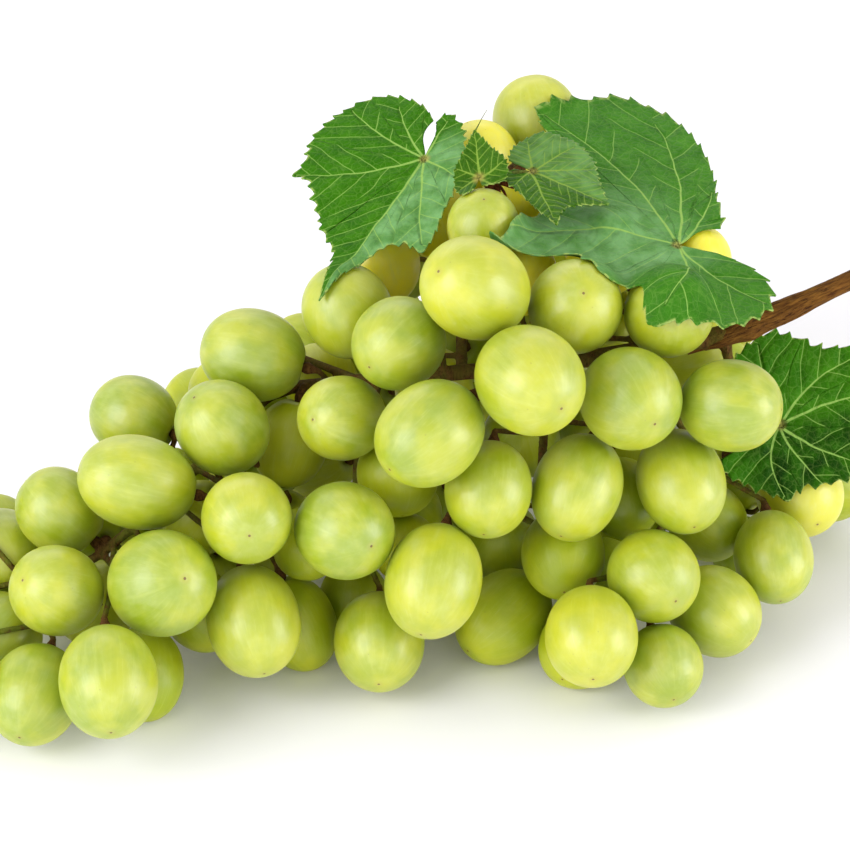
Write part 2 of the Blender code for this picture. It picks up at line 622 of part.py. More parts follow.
def centre_on_origin(parts):
    """Hang every piece on one empty that puts the bunch's footprint centre on the origin."""
    bunch = bpy.data.objects.new("bunch_of_grapes", None)
    parts.objects.link(bunch)
    bpy.context.view_layer.update()
    graph = bpy.context.evaluated_depsgraph_get()
    corners = []
    for thing in parts.objects:
        if thing.type == "MESH":
            seen = thing.evaluated_get(graph)
            corners.extend(seen.matrix_world @ vertex.co for vertex in seen.data.vertices)
    low = [min(corner[axis] for corner in corners) for axis in range(2)]
    high = [max(corner[axis] for corner in corners) for axis in range(2)]
    bunch.location = (-(low[0] + high[0]) / 2, -(low[1] + high[1]) / 2, 0)
    for thing in bpy.data.objects:
        if thing != bunch:
            thing.parent = bunch


def build_bunch():
    clear_scene()
    parts = new_collection("bunch_of_grapes")
    cutters = new_collection("joining_pieces")
    skin = finish("grape_skin", (0.56, 0.66, 0.12), 0.3)
    bark = finish("vine_bark", (0.20, 0.10, 0.04), 0.75)
    leaf_green = finish("vine_leaf", (0.05, 0.22, 0.04), 0.5)
    young_green = finish("young_vine_leaf", (0.14, 0.34, 0.08), 0.55)

    wood = wood_points({name: branch[0] for name, branch in BRANCHES.items()})
    rows = BERRIES + [row for group in BERRY_BRANCHES.values() for row in group]
    berries = Berries(rows, wood)
    for index in range(len(BERRIES)):
        grid = (BERRY_SIDES, BERRY_RINGS)
        berry_solid(f"berry_{index + 1:02d}", berries, index, grid, parts, skin)
    start = len(BERRIES)
    for name, group in BERRY_BRANCHES.items():
        members = list(range(start, start + len(group)))
        build_berry_branch(name, berries, members, parts, cutters, skin)
        start += len(group)
    build_stem(berries, len(BERRIES), parts, cutters, bark)
    for name, leaf in LEAVES.items():
        material = young_green if "young" in name else leaf_green
        build_leaf(name, leaf, berries, parts, cutters, material)
    centre_on_origin(parts)


build_bunch()
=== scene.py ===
"""Looks of a bunch of white table grapes: berries, stalks, cane and five vine leaves.

Lengths are millimetres unless a comment says otherwise, and angles are degrees. A leaf's own plane
has u along its middle vein and v to the left of it, and both are kept on the mesh so that its veins
are drawn there.
"""
import math

import bmesh
import bpy
import numpy as np
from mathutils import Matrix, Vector
from mathutils.kdtree import KDTree


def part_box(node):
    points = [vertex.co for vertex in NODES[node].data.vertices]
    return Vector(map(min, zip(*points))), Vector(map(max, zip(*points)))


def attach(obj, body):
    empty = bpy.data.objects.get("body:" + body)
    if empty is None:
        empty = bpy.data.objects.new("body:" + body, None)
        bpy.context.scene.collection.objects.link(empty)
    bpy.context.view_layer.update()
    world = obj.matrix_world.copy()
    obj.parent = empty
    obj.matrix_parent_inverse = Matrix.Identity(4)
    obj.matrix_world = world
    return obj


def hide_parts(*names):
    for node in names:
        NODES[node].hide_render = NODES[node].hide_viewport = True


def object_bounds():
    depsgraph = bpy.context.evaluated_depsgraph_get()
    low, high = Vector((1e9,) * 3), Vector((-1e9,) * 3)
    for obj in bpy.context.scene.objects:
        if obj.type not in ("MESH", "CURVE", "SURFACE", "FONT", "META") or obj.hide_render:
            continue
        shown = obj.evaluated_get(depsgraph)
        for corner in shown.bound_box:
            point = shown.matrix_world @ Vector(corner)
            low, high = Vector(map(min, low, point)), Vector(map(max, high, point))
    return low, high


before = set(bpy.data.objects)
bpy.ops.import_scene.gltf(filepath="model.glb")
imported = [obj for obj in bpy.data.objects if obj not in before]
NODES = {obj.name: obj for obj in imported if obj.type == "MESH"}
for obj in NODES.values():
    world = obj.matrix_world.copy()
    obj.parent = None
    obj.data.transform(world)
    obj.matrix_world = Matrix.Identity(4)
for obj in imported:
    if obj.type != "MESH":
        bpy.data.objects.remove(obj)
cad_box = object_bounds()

MM = 0.001
chance = np.random.default_rng(11)

# How golden a berry's flesh is, from 0 to 1, with a painted glow of light through the berries under the
# leaves. Any other berry gets a trace of gold by chance.
GOLD_AND_GLOW = {"berry_18": 1.0, "berry_46": 0.8, "berry_48": 0.9, "berry_49": 1.0, "berry_44": 0.55,
        "berry_45": 0.2, "berries_under_leaf": 0.8, "berry_47": 0.15, "berry_35": 0.2}
# Berries deeper in the bunch get a shaded copy of the skin: its more saturated colour and thin bloom are
# painted shade, and its gloss is duller. So are all the hidden ones.
SHADED = ("berry_09", "berry_10", "berry_14", "berry_26", "berry_29", "berry_31", "berry_39",
          "berry_50", "berry_42")
HIDDEN_NODES = ("berries_under_leaf", "berries_back", "berries_beneath", "berries_inside")
GRAPE_SIDES = 56
HIDDEN_GRAPE_SIDES = 32
GRAPE_ISLAND = 13            # a joined node's islands at least this wide are berries
CONCAVE = -0.1               # edges that turn inwards by more than this part a berry from a stalk
FLAT_HEIGHT = 0.03           # points under this are on the flat where a berry rests on the floor
FLOOR_GAP = 0.02             # least height of a berry's skin
GRAPE_SHARE = 0.995          # a berry's size as a share of its node's
GRAPE_SHOULDERS = 0.012      # how much fuller it is between its middle and its ends
GRAPE_SWELL = 0.0028         # height of each wave in its skin, as a share of its size
PAINTED_SHADE_REACH = 3.5             # painted shade: the skin is darker and greener within about this distance of a neighbour
STALK_RADIUS = 0.75
STALK_GAP = 0.45             # space between a bent stalk and the berries that it passes
STALK_PASSES = 25            # how often a bent stalk is evened out and moved off the berries
STALK_SIDES = 10
CUSHION = [0.9, 1.35, 1.5]   # radii of the cushion between a berry and its stalk
BARK_VOXEL = 0.5

BLADE_THICKNESS = 0.3
BLADE_LIFT = 0.75            # least height of a blade over a berry
DRAPE_STEP = 1.0             # spacing of the grid on which a blade is laid over the berries
DRAPE_PASSES = 14            # how often it is evened out while it stays over them
SINUS_FADE = 14              # how fast the turn of its edges fades away from the petiole
PETIOLE_RADIUS = 0.85
YOUNG_PETIOLE_RADIUS = 0.45
PETIOLE_SIDES = 16
PETIOLE_ROWS = 40
TABLES_LOW = (-124.695, -69.314, 0)   # the bunch's low corner in the frame of the leaves' table

CAMERA_HEIGHT = 50           # of the point that the camera looks at
CAMERA_DISTANCE = 750
CAMERA_TILT = 32
CAMERA_LENS = 144.4


def tables_origin():
    """Where the origin of the leaves' table lies, in millimetres."""
    return np.array(cad_box[0]) / MM - TABLES_LOW


# --- shader sockets ---

class Shade:
    """A socket of a finish. Python arithmetic on it adds Math nodes."""

    def __init__(self, finish, socket):
        self.finish = finish
        self.socket = socket

    def math(self, operation, *terms):
        return self.finish.add("Math", {"operation": operation}, dict(enumerate(terms)))

    def __add__(self, other):
        return self.math("ADD", self, other)

    def __sub__(self, other):
        return self.math("SUBTRACT", self, other)

    def __rsub__(self, other):
        return self.math("SUBTRACT", other, self)

    def __mul__(self, other):
        return self.math("MULTIPLY", self, other)

    def __truediv__(self, other):
        return self.math("DIVIDE", self, other)

    def __rtruediv__(self, other):
        return self.math("DIVIDE", other, self)

    def __abs__(self):
        return self.math("ABSOLUTE", self)

    __radd__ = __add__
    __rmul__ = __mul__

    def root(self):
        return self.math("SQRT", self)

    def fraction(self):
        return self.math("FRACT", self)

    def least(self, other):
        return self.math("MINIMUM", self, other)

    def most(self, other):
        return self.math("MAXIMUM", self, other)

    def above(self, other):
        return self.math("GREATER_THAN", self, other)

    def ease(self, low, high):
        """0 at low and 1 at high, with a soft start and end; low may be the larger."""
        return self.finish.add("MapRange", {"interpolation_type": "SMOOTHSTEP"},
                               {"Value": self, "From Min": low, "From Max": high})


class Finish:
    """A material whose nodes are added by plain calls."""

    def __init__(self, name):
        self.material = bpy.data.materials.new(name)
        self.material.use_nodes = True
        self.tree = self.material.node_tree
        self.tree.nodes.clear()

    def add(self, kind, settings=None, sockets=None, out=0):
        node = self.tree.nodes.new("ShaderNode" + kind)
        for key, value in (settings or {}).items():
            if key == "stops":
                ramp = node.color_ramp.elements
                for _ in range(len(value) - len(ramp)):
                    ramp.new(0.5)
                for stop, (position, color) in zip(ramp, value):
                    stop.position = position
                    stop.color = (*color, 1)
            else:
                setattr(node, key, value)
        for key, value in (sockets or {}).items():
            if isinstance(value, Shade):
                self.tree.links.new(value.socket, node.inputs[key])
            elif isinstance(value, tuple) and len(value) == 3 and node.inputs[key].type == "RGBA":
                node.inputs[key].default_value = (*value, 1)
            else:
                node.inputs[key].default_value = value
        return Shade(self, node.outputs[out])

    def carried(self, name, out="Vector"):
        """A value that the mesh carries."""
        return self.add("Attribute", {"attribute_name": name}, out=out)

    def split(self, vector):
        return [self.add("SeparateXYZ", {}, {"Vector": vector}, out=axis) for axis in range(3)]

    def join(self, x, y, z):
        return self.add("CombineXYZ", {}, {"X": x, "Y": y, "Z": z})

    def stretch(self, vector, factors, shift=(0, 0, 0)):
        return self.add("VectorMath", {"operation": "MULTIPLY_ADD"}, {0: vector, 1: factors, 2: shift})

    def mix(self, share, first, second):
        return self.add("Mix", {"data_type": "RGBA"}, {0: share, 6: first, 7: second}, out=2)

    def ramp(self, share, stops):
        return self.add("ValToRGB", {"stops": stops}, {"Fac": share})

    def noise(self, vector, scale, detail=2.0, roughness=0.5):
        return self.add("TexNoise", {}, {"Vector": vector, "Scale": scale, "Detail": detail,
                                         "Roughness": roughness}, out="Fac")

    def cells(self, vector, scale, feature="F1", out="Distance"):
        return self.add("TexVoronoi", {"feature": feature}, {"Vector": vector, "Scale": scale}, out=out)

    def bump(self, height, depth):
        """A height from 0 to 1 as relief of that depth in millimetres."""
        return self.add("Bump", {}, {"Height": height, "Distance": depth * MM, "Strength": 1.0})

    def close(self, sockets):
        """The finished surface."""
        surface = self.add("BsdfPrincipled", {}, sockets)
        self.add_output(surface)
        return self.material

    def add_output(self, surface):
        output = self.tree.nodes.new("ShaderNodeOutputMaterial")
        self.tree.links.new(surface.socket, output.inputs["Surface"])


# --- finishes ---

SKIN = {"golden": (0.86, 0.76, 0.015), "streak": (0.58, 0.64, 0.14), "fibre": (0.66, 0.70, 0.25),
        "bloom": (0.60, 0.66, 0.30), "tucked": (0.22, 0.32, 0.001), "speck": (0.22, 0.18, 0.03),
        "russet": (0.30, 0.18, 0.04), "stalk_end": (0.26, 0.30, 0.03), "halo": (0.40, 0.32, 0.05),
        "scar": (0.13, 0.06, 0.008)}


def grape_skin(name, deep, bright, waxy, gloss):
    """A berry's skin: mottled flesh with a painted golden glow on some, streaks from the tip, bloom,
    specks, the brown scar and painted shade where it faces its neighbours.

    The mesh carries each point's place on a ball of radius 1, with z = 1 at the tip.
    """
    finish = Finish(name)
    place = finish.carried("place")
    seed = finish.carried("seed", "Fac")
    x, y, z = finish.split(place)
    own = finish.join(x + seed * 31, y + seed * 17, z + seed * 43)
    rim = (x * x + y * y).root().most(0.02)
    spokes = finish.join(x / rim * 4 + seed * 31, y / rim * 4, z * 0.6 + seed * 9)

    mottle = finish.noise(own, 1.15, 3, 0.55).ease(0.34, 0.66)
    color = finish.mix(mottle, deep, bright)
    # Golden flesh; on the berries under the leaves it is a painted glow of light shining through them.
    gold = finish.carried("gold", "Fac")
    color = finish.mix(gold, color, SKIN["golden"])
    streaks = finish.noise(spokes, 2.0, 3, 0.6).ease(0.46, 0.78) * rim.ease(0.1, 0.6)
    color = finish.mix(streaks * 0.20, color, SKIN["streak"])
    fibres = finish.noise(finish.stretch(spokes, (3, 3, 2)), 2.4, 2).ease(0.58, 0.74)
    color = finish.mix(fibres * rim.ease(0.2, 0.7) * 0.10, color, SKIN["fibre"])

    bloom = finish.noise(own, 2.2, 4, 0.6).ease(0.36, 0.70)
    rubbed = finish.noise(finish.stretch(own, (1, 1, 0.4)), 6, 3).ease(0.4, 0.62)
    bloom = bloom * (1 - rubbed * 0.5)
    color = finish.mix(bloom * 0.20 * waxy, color, SKIN["bloom"])
    # Painted shade: the skin is darker and greener where it faces its neighbours, less so on golden
    # berries.
    tucked = finish.carried("tucked", "Fac") * (0.62 - gold * 0.5)
    color = finish.mix(tucked, color, SKIN["tucked"])

    specks = finish.cells(own, 5.5).ease(0.12, 0.04)
    pick = finish.split(finish.cells(own, 5.5, out="Color"))[0].above(0.78)
    color = finish.mix(specks * pick * 0.35, color, SKIN["speck"])
    russet = finish.noise(own, 3.4, 5, 0.7).ease(0.71, 0.78)
    color = finish.mix(russet * 0.4, color, SKIN["russet"])
    stalk_end = z.ease(-0.93, -0.985)
    color = finish.mix(stalk_end * 0.6, color, SKIN["stalk_end"])
    halo = z.ease(0.992, 0.9985)
    color = finish.mix(halo * 0.22, color, SKIN["halo"])
    scar = z.ease(0.9994, 0.9997)
    color = finish.mix(scar * 0.9, color, SKIN["scar"])

    grain = finish.noise(own, 42, 3)
    swell = finish.noise(own, 3.2, 2)
    relief = finish.bump(swell + grain * 0.06, 0.20)
    return finish.close({
        "Base Color": color,
        "Roughness": 0.42 + bloom * 0.12 + scar * 0.3,
        "Normal": relief,
        "IOR": 1.55,
        "Specular IOR Level": gloss,
        "Subsurface Weight": 0.8,
        "Subsurface Radius": (1.0, 0.9, 0.2),
        "Subsurface Scale": 0.0055,
        "Coat Weight": (1 - scar) * (0.22 * waxy),
        "Coat Roughness": 0.24,
    })


CRACK = (0.016, 0.007, 0.004)
PORE = (0.26, 0.13, 0.055)


def bark(name, deep, pale, green):
    """Cane and stalks: streaks along the wood, cracks and a greener young end."""
    finish = Finish(name)
    wood = finish.carried("wood")
    youth = finish.carried("youth", "Fac")
    streak = finish.noise(finish.stretch(wood, (1, 1, 0.16)), 1.9, 4, 0.65)
    crack = finish.noise(finish.stretch(wood, (2.4, 2.4, 0.22)), 2.3, 3, 0.6)
    middle = tuple((a + b) / 2 for a, b in zip(deep, pale))
    color = finish.ramp(streak, [(0.25, deep), (0.55, middle), (0.8, pale)])
    gap = crack.ease(0.44, 0.36)
    color = finish.mix(gap * 0.7, color, CRACK)
    color = finish.mix(youth * finish.noise(wood, 0.5, 2).ease(0.3, 0.6), color, green)
    pores = finish.cells(finish.stretch(wood, (1, 1, 0.5)), 1.4).ease(0.16, 0.07)
    color = finish.mix(pores * 0.35, color, PORE)
    height = streak * 0.6 + crack * 0.5 - gap * 0.4 + pores * 0.15
    return finish.close({
        "Base Color": color,
        "Roughness": 0.62 + streak * 0.2,
        "Normal": finish.bump(height, 0.35),
        "Specular IOR Level": 0.08,
    })


VEIN_TAPER = 1.2             # a main vein thins towards its tip as this less the share of its length
SIDE_BOW = 0.014             # how much side veins curve forwards
BITTEN_RIM = (0.42, 0.54, 0.14)
HEART = (0.50, 0.36, 0.10)
DOWN = (0.20, 0.34, 0.11)


def vein_lines(leaf, u, v):
    """How far each place is from the main veins and from the side veins, in millimetres.

    With them come a mask that is 0 midway between two main veins and, for the side veins, the share
    of the main vein's length at which they stand.
    """
    spacing = leaf["side_gap"]
    main = nearest = second = phase = start = None
    for angle, length, bow in leaf["veins"]:
        turn = math.radians(angle)
        along = u * math.cos(turn) + v * math.sin(turn)
        share = (along / length).most(0).least(1)
        across = v * math.cos(turn) - u * math.sin(turn) - share * (1 - share) * (4 * bow)
        apart = abs(across)
        behind = (along * -1).most(0)
        past_tip = along.most(length * 0.97) - length * 0.97
        line = (apart + behind * 3 + past_tip) / (VEIN_TAPER - share)
        sector = apart / along.most(0.2) + behind * 5
        own = (along - apart * leaf["side_lean"] - apart * apart * SIDE_BOW) / spacing
        own = own + across.above(0) * 0.5
        if main is None:
            main, nearest, second, phase, start = line, sector, 9 + sector, own, share
        else:
            closer = nearest.above(sector)
            phase = phase + (own - phase) * closer
            start = start + (share - start) * closer
            main = main.least(line)
            second = second.least(nearest.most(sector))
            nearest = nearest.least(sector)
    side = (0.5 - abs(phase.fraction() - 0.5)) * spacing
    between = (second - nearest).ease(0.0, 0.05)
    return main, side, between, start


def leaf_green(name, leaf):
    """A blade's finish: palmate main veins, side veins to the teeth and a fine net between them."""
    finish = Finish(name)
    flat = finish.carried("flat")
    edge = finish.carried("edge", "Fac")
    u, v, _ = finish.split(flat)
    u = u + (finish.noise(flat, 0.09, 2) - 0.5) * 2.0
    v = v + (finish.noise(finish.stretch(flat, (1, 1, 1), (40, 0, 0)), 0.09, 2) - 0.5) * 2.0
    main, side, between, start = vein_lines(leaf, u, v)
    main_vein = main.ease(0.36, 0.16)
    side_vein = side.ease(0.19, 0.07) * main.ease(0.0, 0.3) * between * start.ease(0.10, 0.22)
    net = finish.cells(flat, 0.55, "DISTANCE_TO_EDGE")
    fine = finish.cells(flat, 1.4, "DISTANCE_TO_EDGE")
    net_vein = net.ease(0.065, 0.015)
    fine_vein = fine.ease(0.09, 0.02)

    mottle = finish.noise(flat, 0.16, 4, 0.6)
    color = finish.ramp(mottle, [(0.25, leaf["dark"]), (0.75, leaf["light"])])
    pale = leaf["vein"]
    color = finish.mix(main.ease(2.4, 0.3) * 0.3, color, leaf["light"])
    # Painted light: a paler bluish sheen over one side of the blade; on leaf_right it is painted shade
    # over its lower part.
    low, high, far, near = leaf["bloom"]
    bloom = v.ease(low, high) * u.ease(far, near) * u.ease(-13, -4)
    cloud = finish.noise(finish.stretch(flat, (1, 1, 1), (9, 9, 0)), 0.22, 3).ease(0.3, 0.7)
    color = finish.mix(bloom * (0.35 + cloud * 0.6), color, leaf["bloomed"])
    color = finish.mix(fine_vein * 0.07, color, pale)
    color = finish.mix(net_vein * 0.11, color, pale)
    color = finish.mix(side_vein * 0.62, color, pale)
    color = finish.mix(main_vein * 0.9, color, pale)
    bitten = finish.noise(flat, 0.7, 2).ease(0.42, 0.62)
    color = finish.mix(edge.ease(0.975, 1.0) * bitten * 0.8, color, BITTEN_RIM)
    heart = finish.add("VectorMath", {"operation": "LENGTH"}, {0: flat}, out="Value").ease(1.9, 0.4)
    color = finish.mix(heart * 0.6, color, HEART)
    down = finish.noise(flat, 3.5, 3).ease(0.5, 0.75) * leaf["down"]
    color = finish.mix(down, color, DOWN)
    quilt = net.ease(0.0, 0.3) * 0.25 + side.ease(0.05, 1.8) * between * 0.7 + main.ease(0.1, 2.4) * 1.1
    quilt = quilt + finish.noise(flat, 2.2, 3) * 0.12
    relief = finish.bump(quilt, leaf["quilt"])
    gloss = 0.40 + finish.noise(flat, 0.7, 3) * 0.14 + main_vein * 0.1
    blade = finish.add("BsdfPrincipled", {}, {
        "Base Color": color,
        "Roughness": gloss,
        "Normal": relief,
        "IOR": 1.45,
        "Specular IOR Level": leaf["shine"],
        "Sheen Weight": leaf["sheen"],
        "Sheen Roughness": 0.4,
        "Sheen Tint": (0.75, 1.0, 0.9, 1.0),
    })
    through = finish.add("BsdfTranslucent", {}, {"Color": leaf["through"]})
    finish.add_output(finish.add("MixShader", {}, {0: 0.12, 1: blade, 2: through}))
    return finish.material


def studio_floor():
    finish = Finish("studio_floor")
    place = finish.add("TexCoord", out="Object")
    grain = finish.noise(place, 3.0, 3)
    color = finish.mix(grain, (0.90, 0.89, 0.96), (0.92, 0.91, 0.98))
    return finish.close({"Base Color": color, "Roughness": 0.85, "Specular IOR Level": 0.1})


# --- meshes ---

def shape(name, points, faces, material, carried=None):
    """A piece from points in metres; carried holds what each point carries into its finish."""
    mesh = bpy.data.meshes.new(name)
    mesh.from_pydata([tuple(point) for point in points], [], faces)
    mesh.validate()
    for key, values in (carried or {}).items():
        values = np.asarray(values, dtype=np.float32)
        kind = "FLOAT" if values.ndim == 1 else "FLOAT_VECTOR"
        layer = mesh.attributes.new(key, kind, "POINT")
        layer.data.foreach_set("value" if values.ndim == 1 else "vector", values.ravel())
    mesh.shade_smooth()
    piece = bpy.data.objects.new(name, mesh)
    bpy.context.scene.collection.objects.link(piece)
    piece.data.materials.append(material)
    return piece


def hand_in(piece, slot, *nodes):
    """Hang the piece on the root body and hide the CAD nodes that it stands for; slot is not used."""
    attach(piece, "root")
    if nodes:
        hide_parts(*nodes)


def grid_faces(rows, columns, closed):
    """Quads of a grid of points that are stored row after row."""
    faces = []
    last = columns if closed else columns - 1
    for row in range(rows - 1):
        for k in range(last):
            right = (k + 1) % columns
            a, b = row * columns, (row + 1) * columns
            faces.append((a + k, a + right, b + right, b + k))
    return faces


def add_grid(points, faces, new, rows, columns):
    """Add closed rows of points, and the faces between them, to a piece's lists."""
    start = sum(len(part) for part in points)
    faces += [tuple(start + k for k in face) for face in grid_faces(rows, columns, True)]
    points.append(new)


def ring_turns(sides):
    return np.arange(sides) * 2 * math.pi / sides


def spread(values, count):
    """A few values as so many, evenly spaced and joined by straight lines."""
    return np.interp(np.linspace(0, 1, count), np.linspace(0, 1, len(values)), values)


def hill(values, middle, reach):
    """1 at the middle, falling smoothly to 0 on both sides."""
    return np.exp(-((values - middle) / reach) ** 2)


def unit(vector):
    vector = np.asarray(vector, dtype=float)
    return vector / np.linalg.norm(vector)


def welded(node):
    """A CAD node's mesh with its doubled corners joined."""
    solid = bmesh.new()
    solid.from_mesh(NODES[node].data)
    bmesh.ops.remove_doubles(solid, verts=solid.verts, dist=0.000002)
    return solid


def square_to(direction):
    """Two unit vectors square to a direction and to each other."""
    helper = (1, 0, 0) if abs(direction[0]) < 0.9 else (0, 1, 0)
    first = unit(np.cross(direction, helper))
    return first, np.cross(direction, first)


# --- berries ---

class Grape:
    """The spheroid through a berry's points, in millimetres."""

    def __init__(self, node, points):
        self.node = node
        points = points[points[:, 2] > FLAT_HEIGHT]
        for _ in range(3):
            centre, half, axes, error = self.fit(points)
            points = points[error < max(0.004, 2.5 * np.median(error))]
        self.centre, self.axis = centre, axes[:, 0]
        self.long, self.wide = half[0], (half[1] + half[2]) / 2
        self.shift = chance.random()

    @staticmethod
    def fit(points):
        """The quadric nearest to the points: its centre, half sizes and axes, and each point's error."""
        middle = points.mean(axis=0)
        x, y, z = (points - middle).T
        terms = [x * x, y * y, z * z, 2 * x * y, 2 * x * z, 2 * y * z, 2 * x, 2 * y, 2 * z]
        terms = np.stack(terms, axis=1)
        q = np.linalg.lstsq(terms, np.ones(len(x)), rcond=None)[0]
        form = np.array([[q[0], q[3], q[4]], [q[3], q[1], q[5]], [q[4], q[5], q[2]]])
        centre = -np.linalg.solve(form, q[6:])
        sizes, axes = np.linalg.eigh(form / (1 + centre @ form @ centre))
        return middle + centre, 1 / np.sqrt(np.maximum(sizes, 1e-6)), axes, abs(terms @ q - 1)

    def face_tip_away(self, stem):
        """Point the axis from the stalk's end of the berry to its tip."""
        ends = [self.centre + sign * self.axis * self.long for sign in (1, -1)]
        reach = [stem.find(Vector(end))[2] for end in ends]
        if reach[0] < reach[1]:
            self.axis = -self.axis

    def base(self):
        return self.centre - self.axis * self.long


def islands(node):
    """The points of each berry of a joined node, in millimetres, always in the same order."""
    solid = welded(node)
    solid.verts.index_update()
    solid.faces.index_update()
    spots = np.array([corner.co for corner in solid.verts]) / MM
    seen = set()
    groups = []
    for first in solid.faces:
        front = [first]
        corners = set()
        while front:
            face = front.pop()
            if face.index in seen:
                continue
            seen.add(face.index)
            corners.update(corner.index for corner in face.verts)
            for edge in face.edges:
                if len(edge.link_faces) == 2 and edge.calc_face_angle_signed() > CONCAVE:
                    front.extend(edge.link_faces)
        if corners and min(np.ptp(spots[sorted(corners)], axis=0)) > GRAPE_ISLAND:
            groups.append(spots[sorted(corners)])
    solid.free()
    return groups


def find_grapes():
    """Every berry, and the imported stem's points in a tree for finding the nearest."""
    grapes = []
    for node in sorted(NODES):
        if node in HIDDEN_NODES:
            grapes.extend(Grape(node, points) for points in islands(node))
        elif node.startswith("berry_"):
            solid = welded(node)
            grapes.append(Grape(node, np.array([point.co for point in solid.verts]) / MM))
            solid.free()
    points = [point.co / MM for point in NODES["stem"].data.vertices]
    stem = KDTree(len(points))
    for index, point in enumerate(points):
        stem.insert(point, index)
    stem.balance()
    for grape in grapes:
        grape.face_tip_away(stem)
    return grapes, stem


def grape_points(grape, sides):
    """Points of one berry from its tip to its stalk: ring after ring, and what each one carries."""
    # Rings lie close together at the scar on the tip and at the dimple round the stalk.
    near = np.array([0.0, 0.018, 0.034, 0.05, 0.068, 0.09, 0.12, 0.17, 0.24])
    wide = np.linspace(0.32, math.pi - 0.40, max(12, sides // 2))
    far = math.pi - np.array([0.32, 0.26, 0.21, 0.17, 0.13, 0.09, 0.05, 0.0])
    polar = np.concatenate([near, wide, far])
    turn = ring_turns(sides)
    place = np.stack([np.outer(np.sin(polar), np.cos(turn)), np.outer(np.sin(polar), np.sin(turn)),
                      np.repeat(np.cos(polar)[:, None], sides, axis=1)], axis=-1).reshape(-1, 3)
    draw = np.random.default_rng(int(grape.shift * 1e6))
    swell = np.zeros(len(place))
    for _ in range(5):
        wave = draw.normal(size=3) * 1.7
        swell += np.sin(place @ wave + draw.uniform(0, 6.28)) * GRAPE_SWELL
    blunt = 1 + GRAPE_SHOULDERS * np.sin(2 * np.arccos(np.clip(place[:, 2], -1, 1))) ** 2
    size = (swell + blunt)[:, None] * GRAPE_SHARE
    out = place * size * [grape.wide, grape.wide, grape.long]
    ring = np.hypot(out[:, 0], out[:, 1])
    tip = place[:, 2] > 0
    scar = 0.10 * np.exp(-(ring / 0.45) ** 4) - 0.16 * hill(ring, 0, 1.3)
    dimple = hill(ring, 0, 1.7) - 0.12 * hill(ring, 3.6, 1.4)
    out[:, 2] += np.where(tip, scar, dimple)
    first, second = square_to(grape.axis)
    points = grape.centre + out @ np.stack([first, second, grape.axis])
    points[:, 2] = np.maximum(points[:, 2], FLOOR_GAP)
    return points, place, len(polar)


def shade_between_berries(points, grape, crowd):
    """How closely each point of a berry's skin faces its neighbours, from 0 to 1: the weight of the
    painted shade between berries.
    """
    reach = np.linalg.norm(crowd.centre - grape.centre, axis=1)
    beside = (reach > 0.1) & (reach < 2.2 * grape.long + 14)
    gaps = np.linalg.norm(points[:, None] - crowd.centre[beside], axis=2) - crowd.wide[beside]
    return np.clip(np.exp(-np.maximum(gaps, 0) / PAINTED_SHADE_REACH).sum(axis=1), 0, 1)


def build_grapes(grapes, crowd, outer, shaded_skin):
    """One piece for every berry node, so that a joined node's berries stay together."""
    groups = {}
    for grape in grapes:
        groups.setdefault(grape.node, []).append(grape)
    for node, members in groups.items():
        sides = HIDDEN_GRAPE_SIDES if node in HIDDEN_NODES else GRAPE_SIDES
        points, faces = [], []
        carried = {"place": [], "seed": [], "gold": [], "tucked": []}
        for grape in members:
            own, place, rows = grape_points(grape, sides)
            add_grid(points, faces, own, rows, sides)
            trace = max(0, chance.normal(0.08, 0.10))
            carried["place"].append(place)
            carried["seed"].append(np.full(len(own), grape.shift))
            carried["gold"].append(np.full(len(own), GOLD_AND_GLOW.get(node, trace)))
            carried["tucked"].append(shade_between_berries(own, grape, crowd))
        material = shaded_skin if node in HIDDEN_NODES or node in SHADED else outer
        piece = shape(node.replace("berr", "grape_berr"), np.vstack(points) * MM, faces, material,
                      {key: np.concatenate(parts) for key, parts in carried.items()})
        close_poles(piece)
        hand_in(piece, "grape_skin", node)


def close_poles(piece):
    """Weld the rings of zero radius that close the ends of berries, cane and stalks."""
    solid = bmesh.new()
    solid.from_mesh(piece.data)
    bmesh.ops.remove_doubles(solid, verts=solid.verts, dist=0.000001)
    bmesh.ops.recalc_face_normals(solid, faces=solid.faces)
    solid.to_mesh(piece.data)
    solid.free()
    piece.data.shade_smooth()


# --- stalks and cane ---

class Crowd:
    """All the berries at once, for laying leaves and stalks round them."""

    def __init__(self, grapes):
        self.centre = np.array([grape.centre for grape in grapes])
        self.axis = np.array([grape.axis for grape in grapes])
        self.long = np.array([grape.long for grape in grapes])
        self.wide = np.array([grape.wide for grape in grapes])

    def push_out(self, points, margin):
        """The points, each moved out of the berries and a margin away from them."""
        for _ in range(6):
            offset = points[:, None, :] - self.centre
            along = np.sum(offset * self.axis, axis=2)
            beside = np.linalg.norm(offset - along[..., None] * self.axis, axis=2)
            depth = np.hypot(along / (self.long + margin), beside / (self.wide + margin))
            centre = self.centre[np.argmin(depth, axis=1)]
            points = centre + (points - centre) / np.clip(depth.min(axis=1), 0.05, 1)[:, None]
        return points

    def lift_over(self, points, direction, margin, only_inside):
        """How far each point must move along a direction to clear the berries in its way."""
        long, wide = self.long + margin, self.wide + margin
        offset = points[:, None, :] - self.centre
        along = np.sum(offset * self.axis, axis=2)
        rise = self.axis @ direction
        a = (rise / long) ** 2 + (1 - rise ** 2) / wide ** 2
        b = along * rise / long ** 2 + (offset @ direction - along * rise) / wide ** 2
        c = (along / long) ** 2 + (np.sum(offset ** 2, axis=2) - along ** 2) / wide ** 2 - 1
        inside = b ** 2 - a * c
        root = np.sqrt(np.maximum(inside, 0))
        leave = (root - b) / a
        hit = (inside > 0) & (leave > 0)
        if only_inside:
            hit &= (-b - root) / a < 0
        return np.where(hit, leave, 0).max(axis=1)


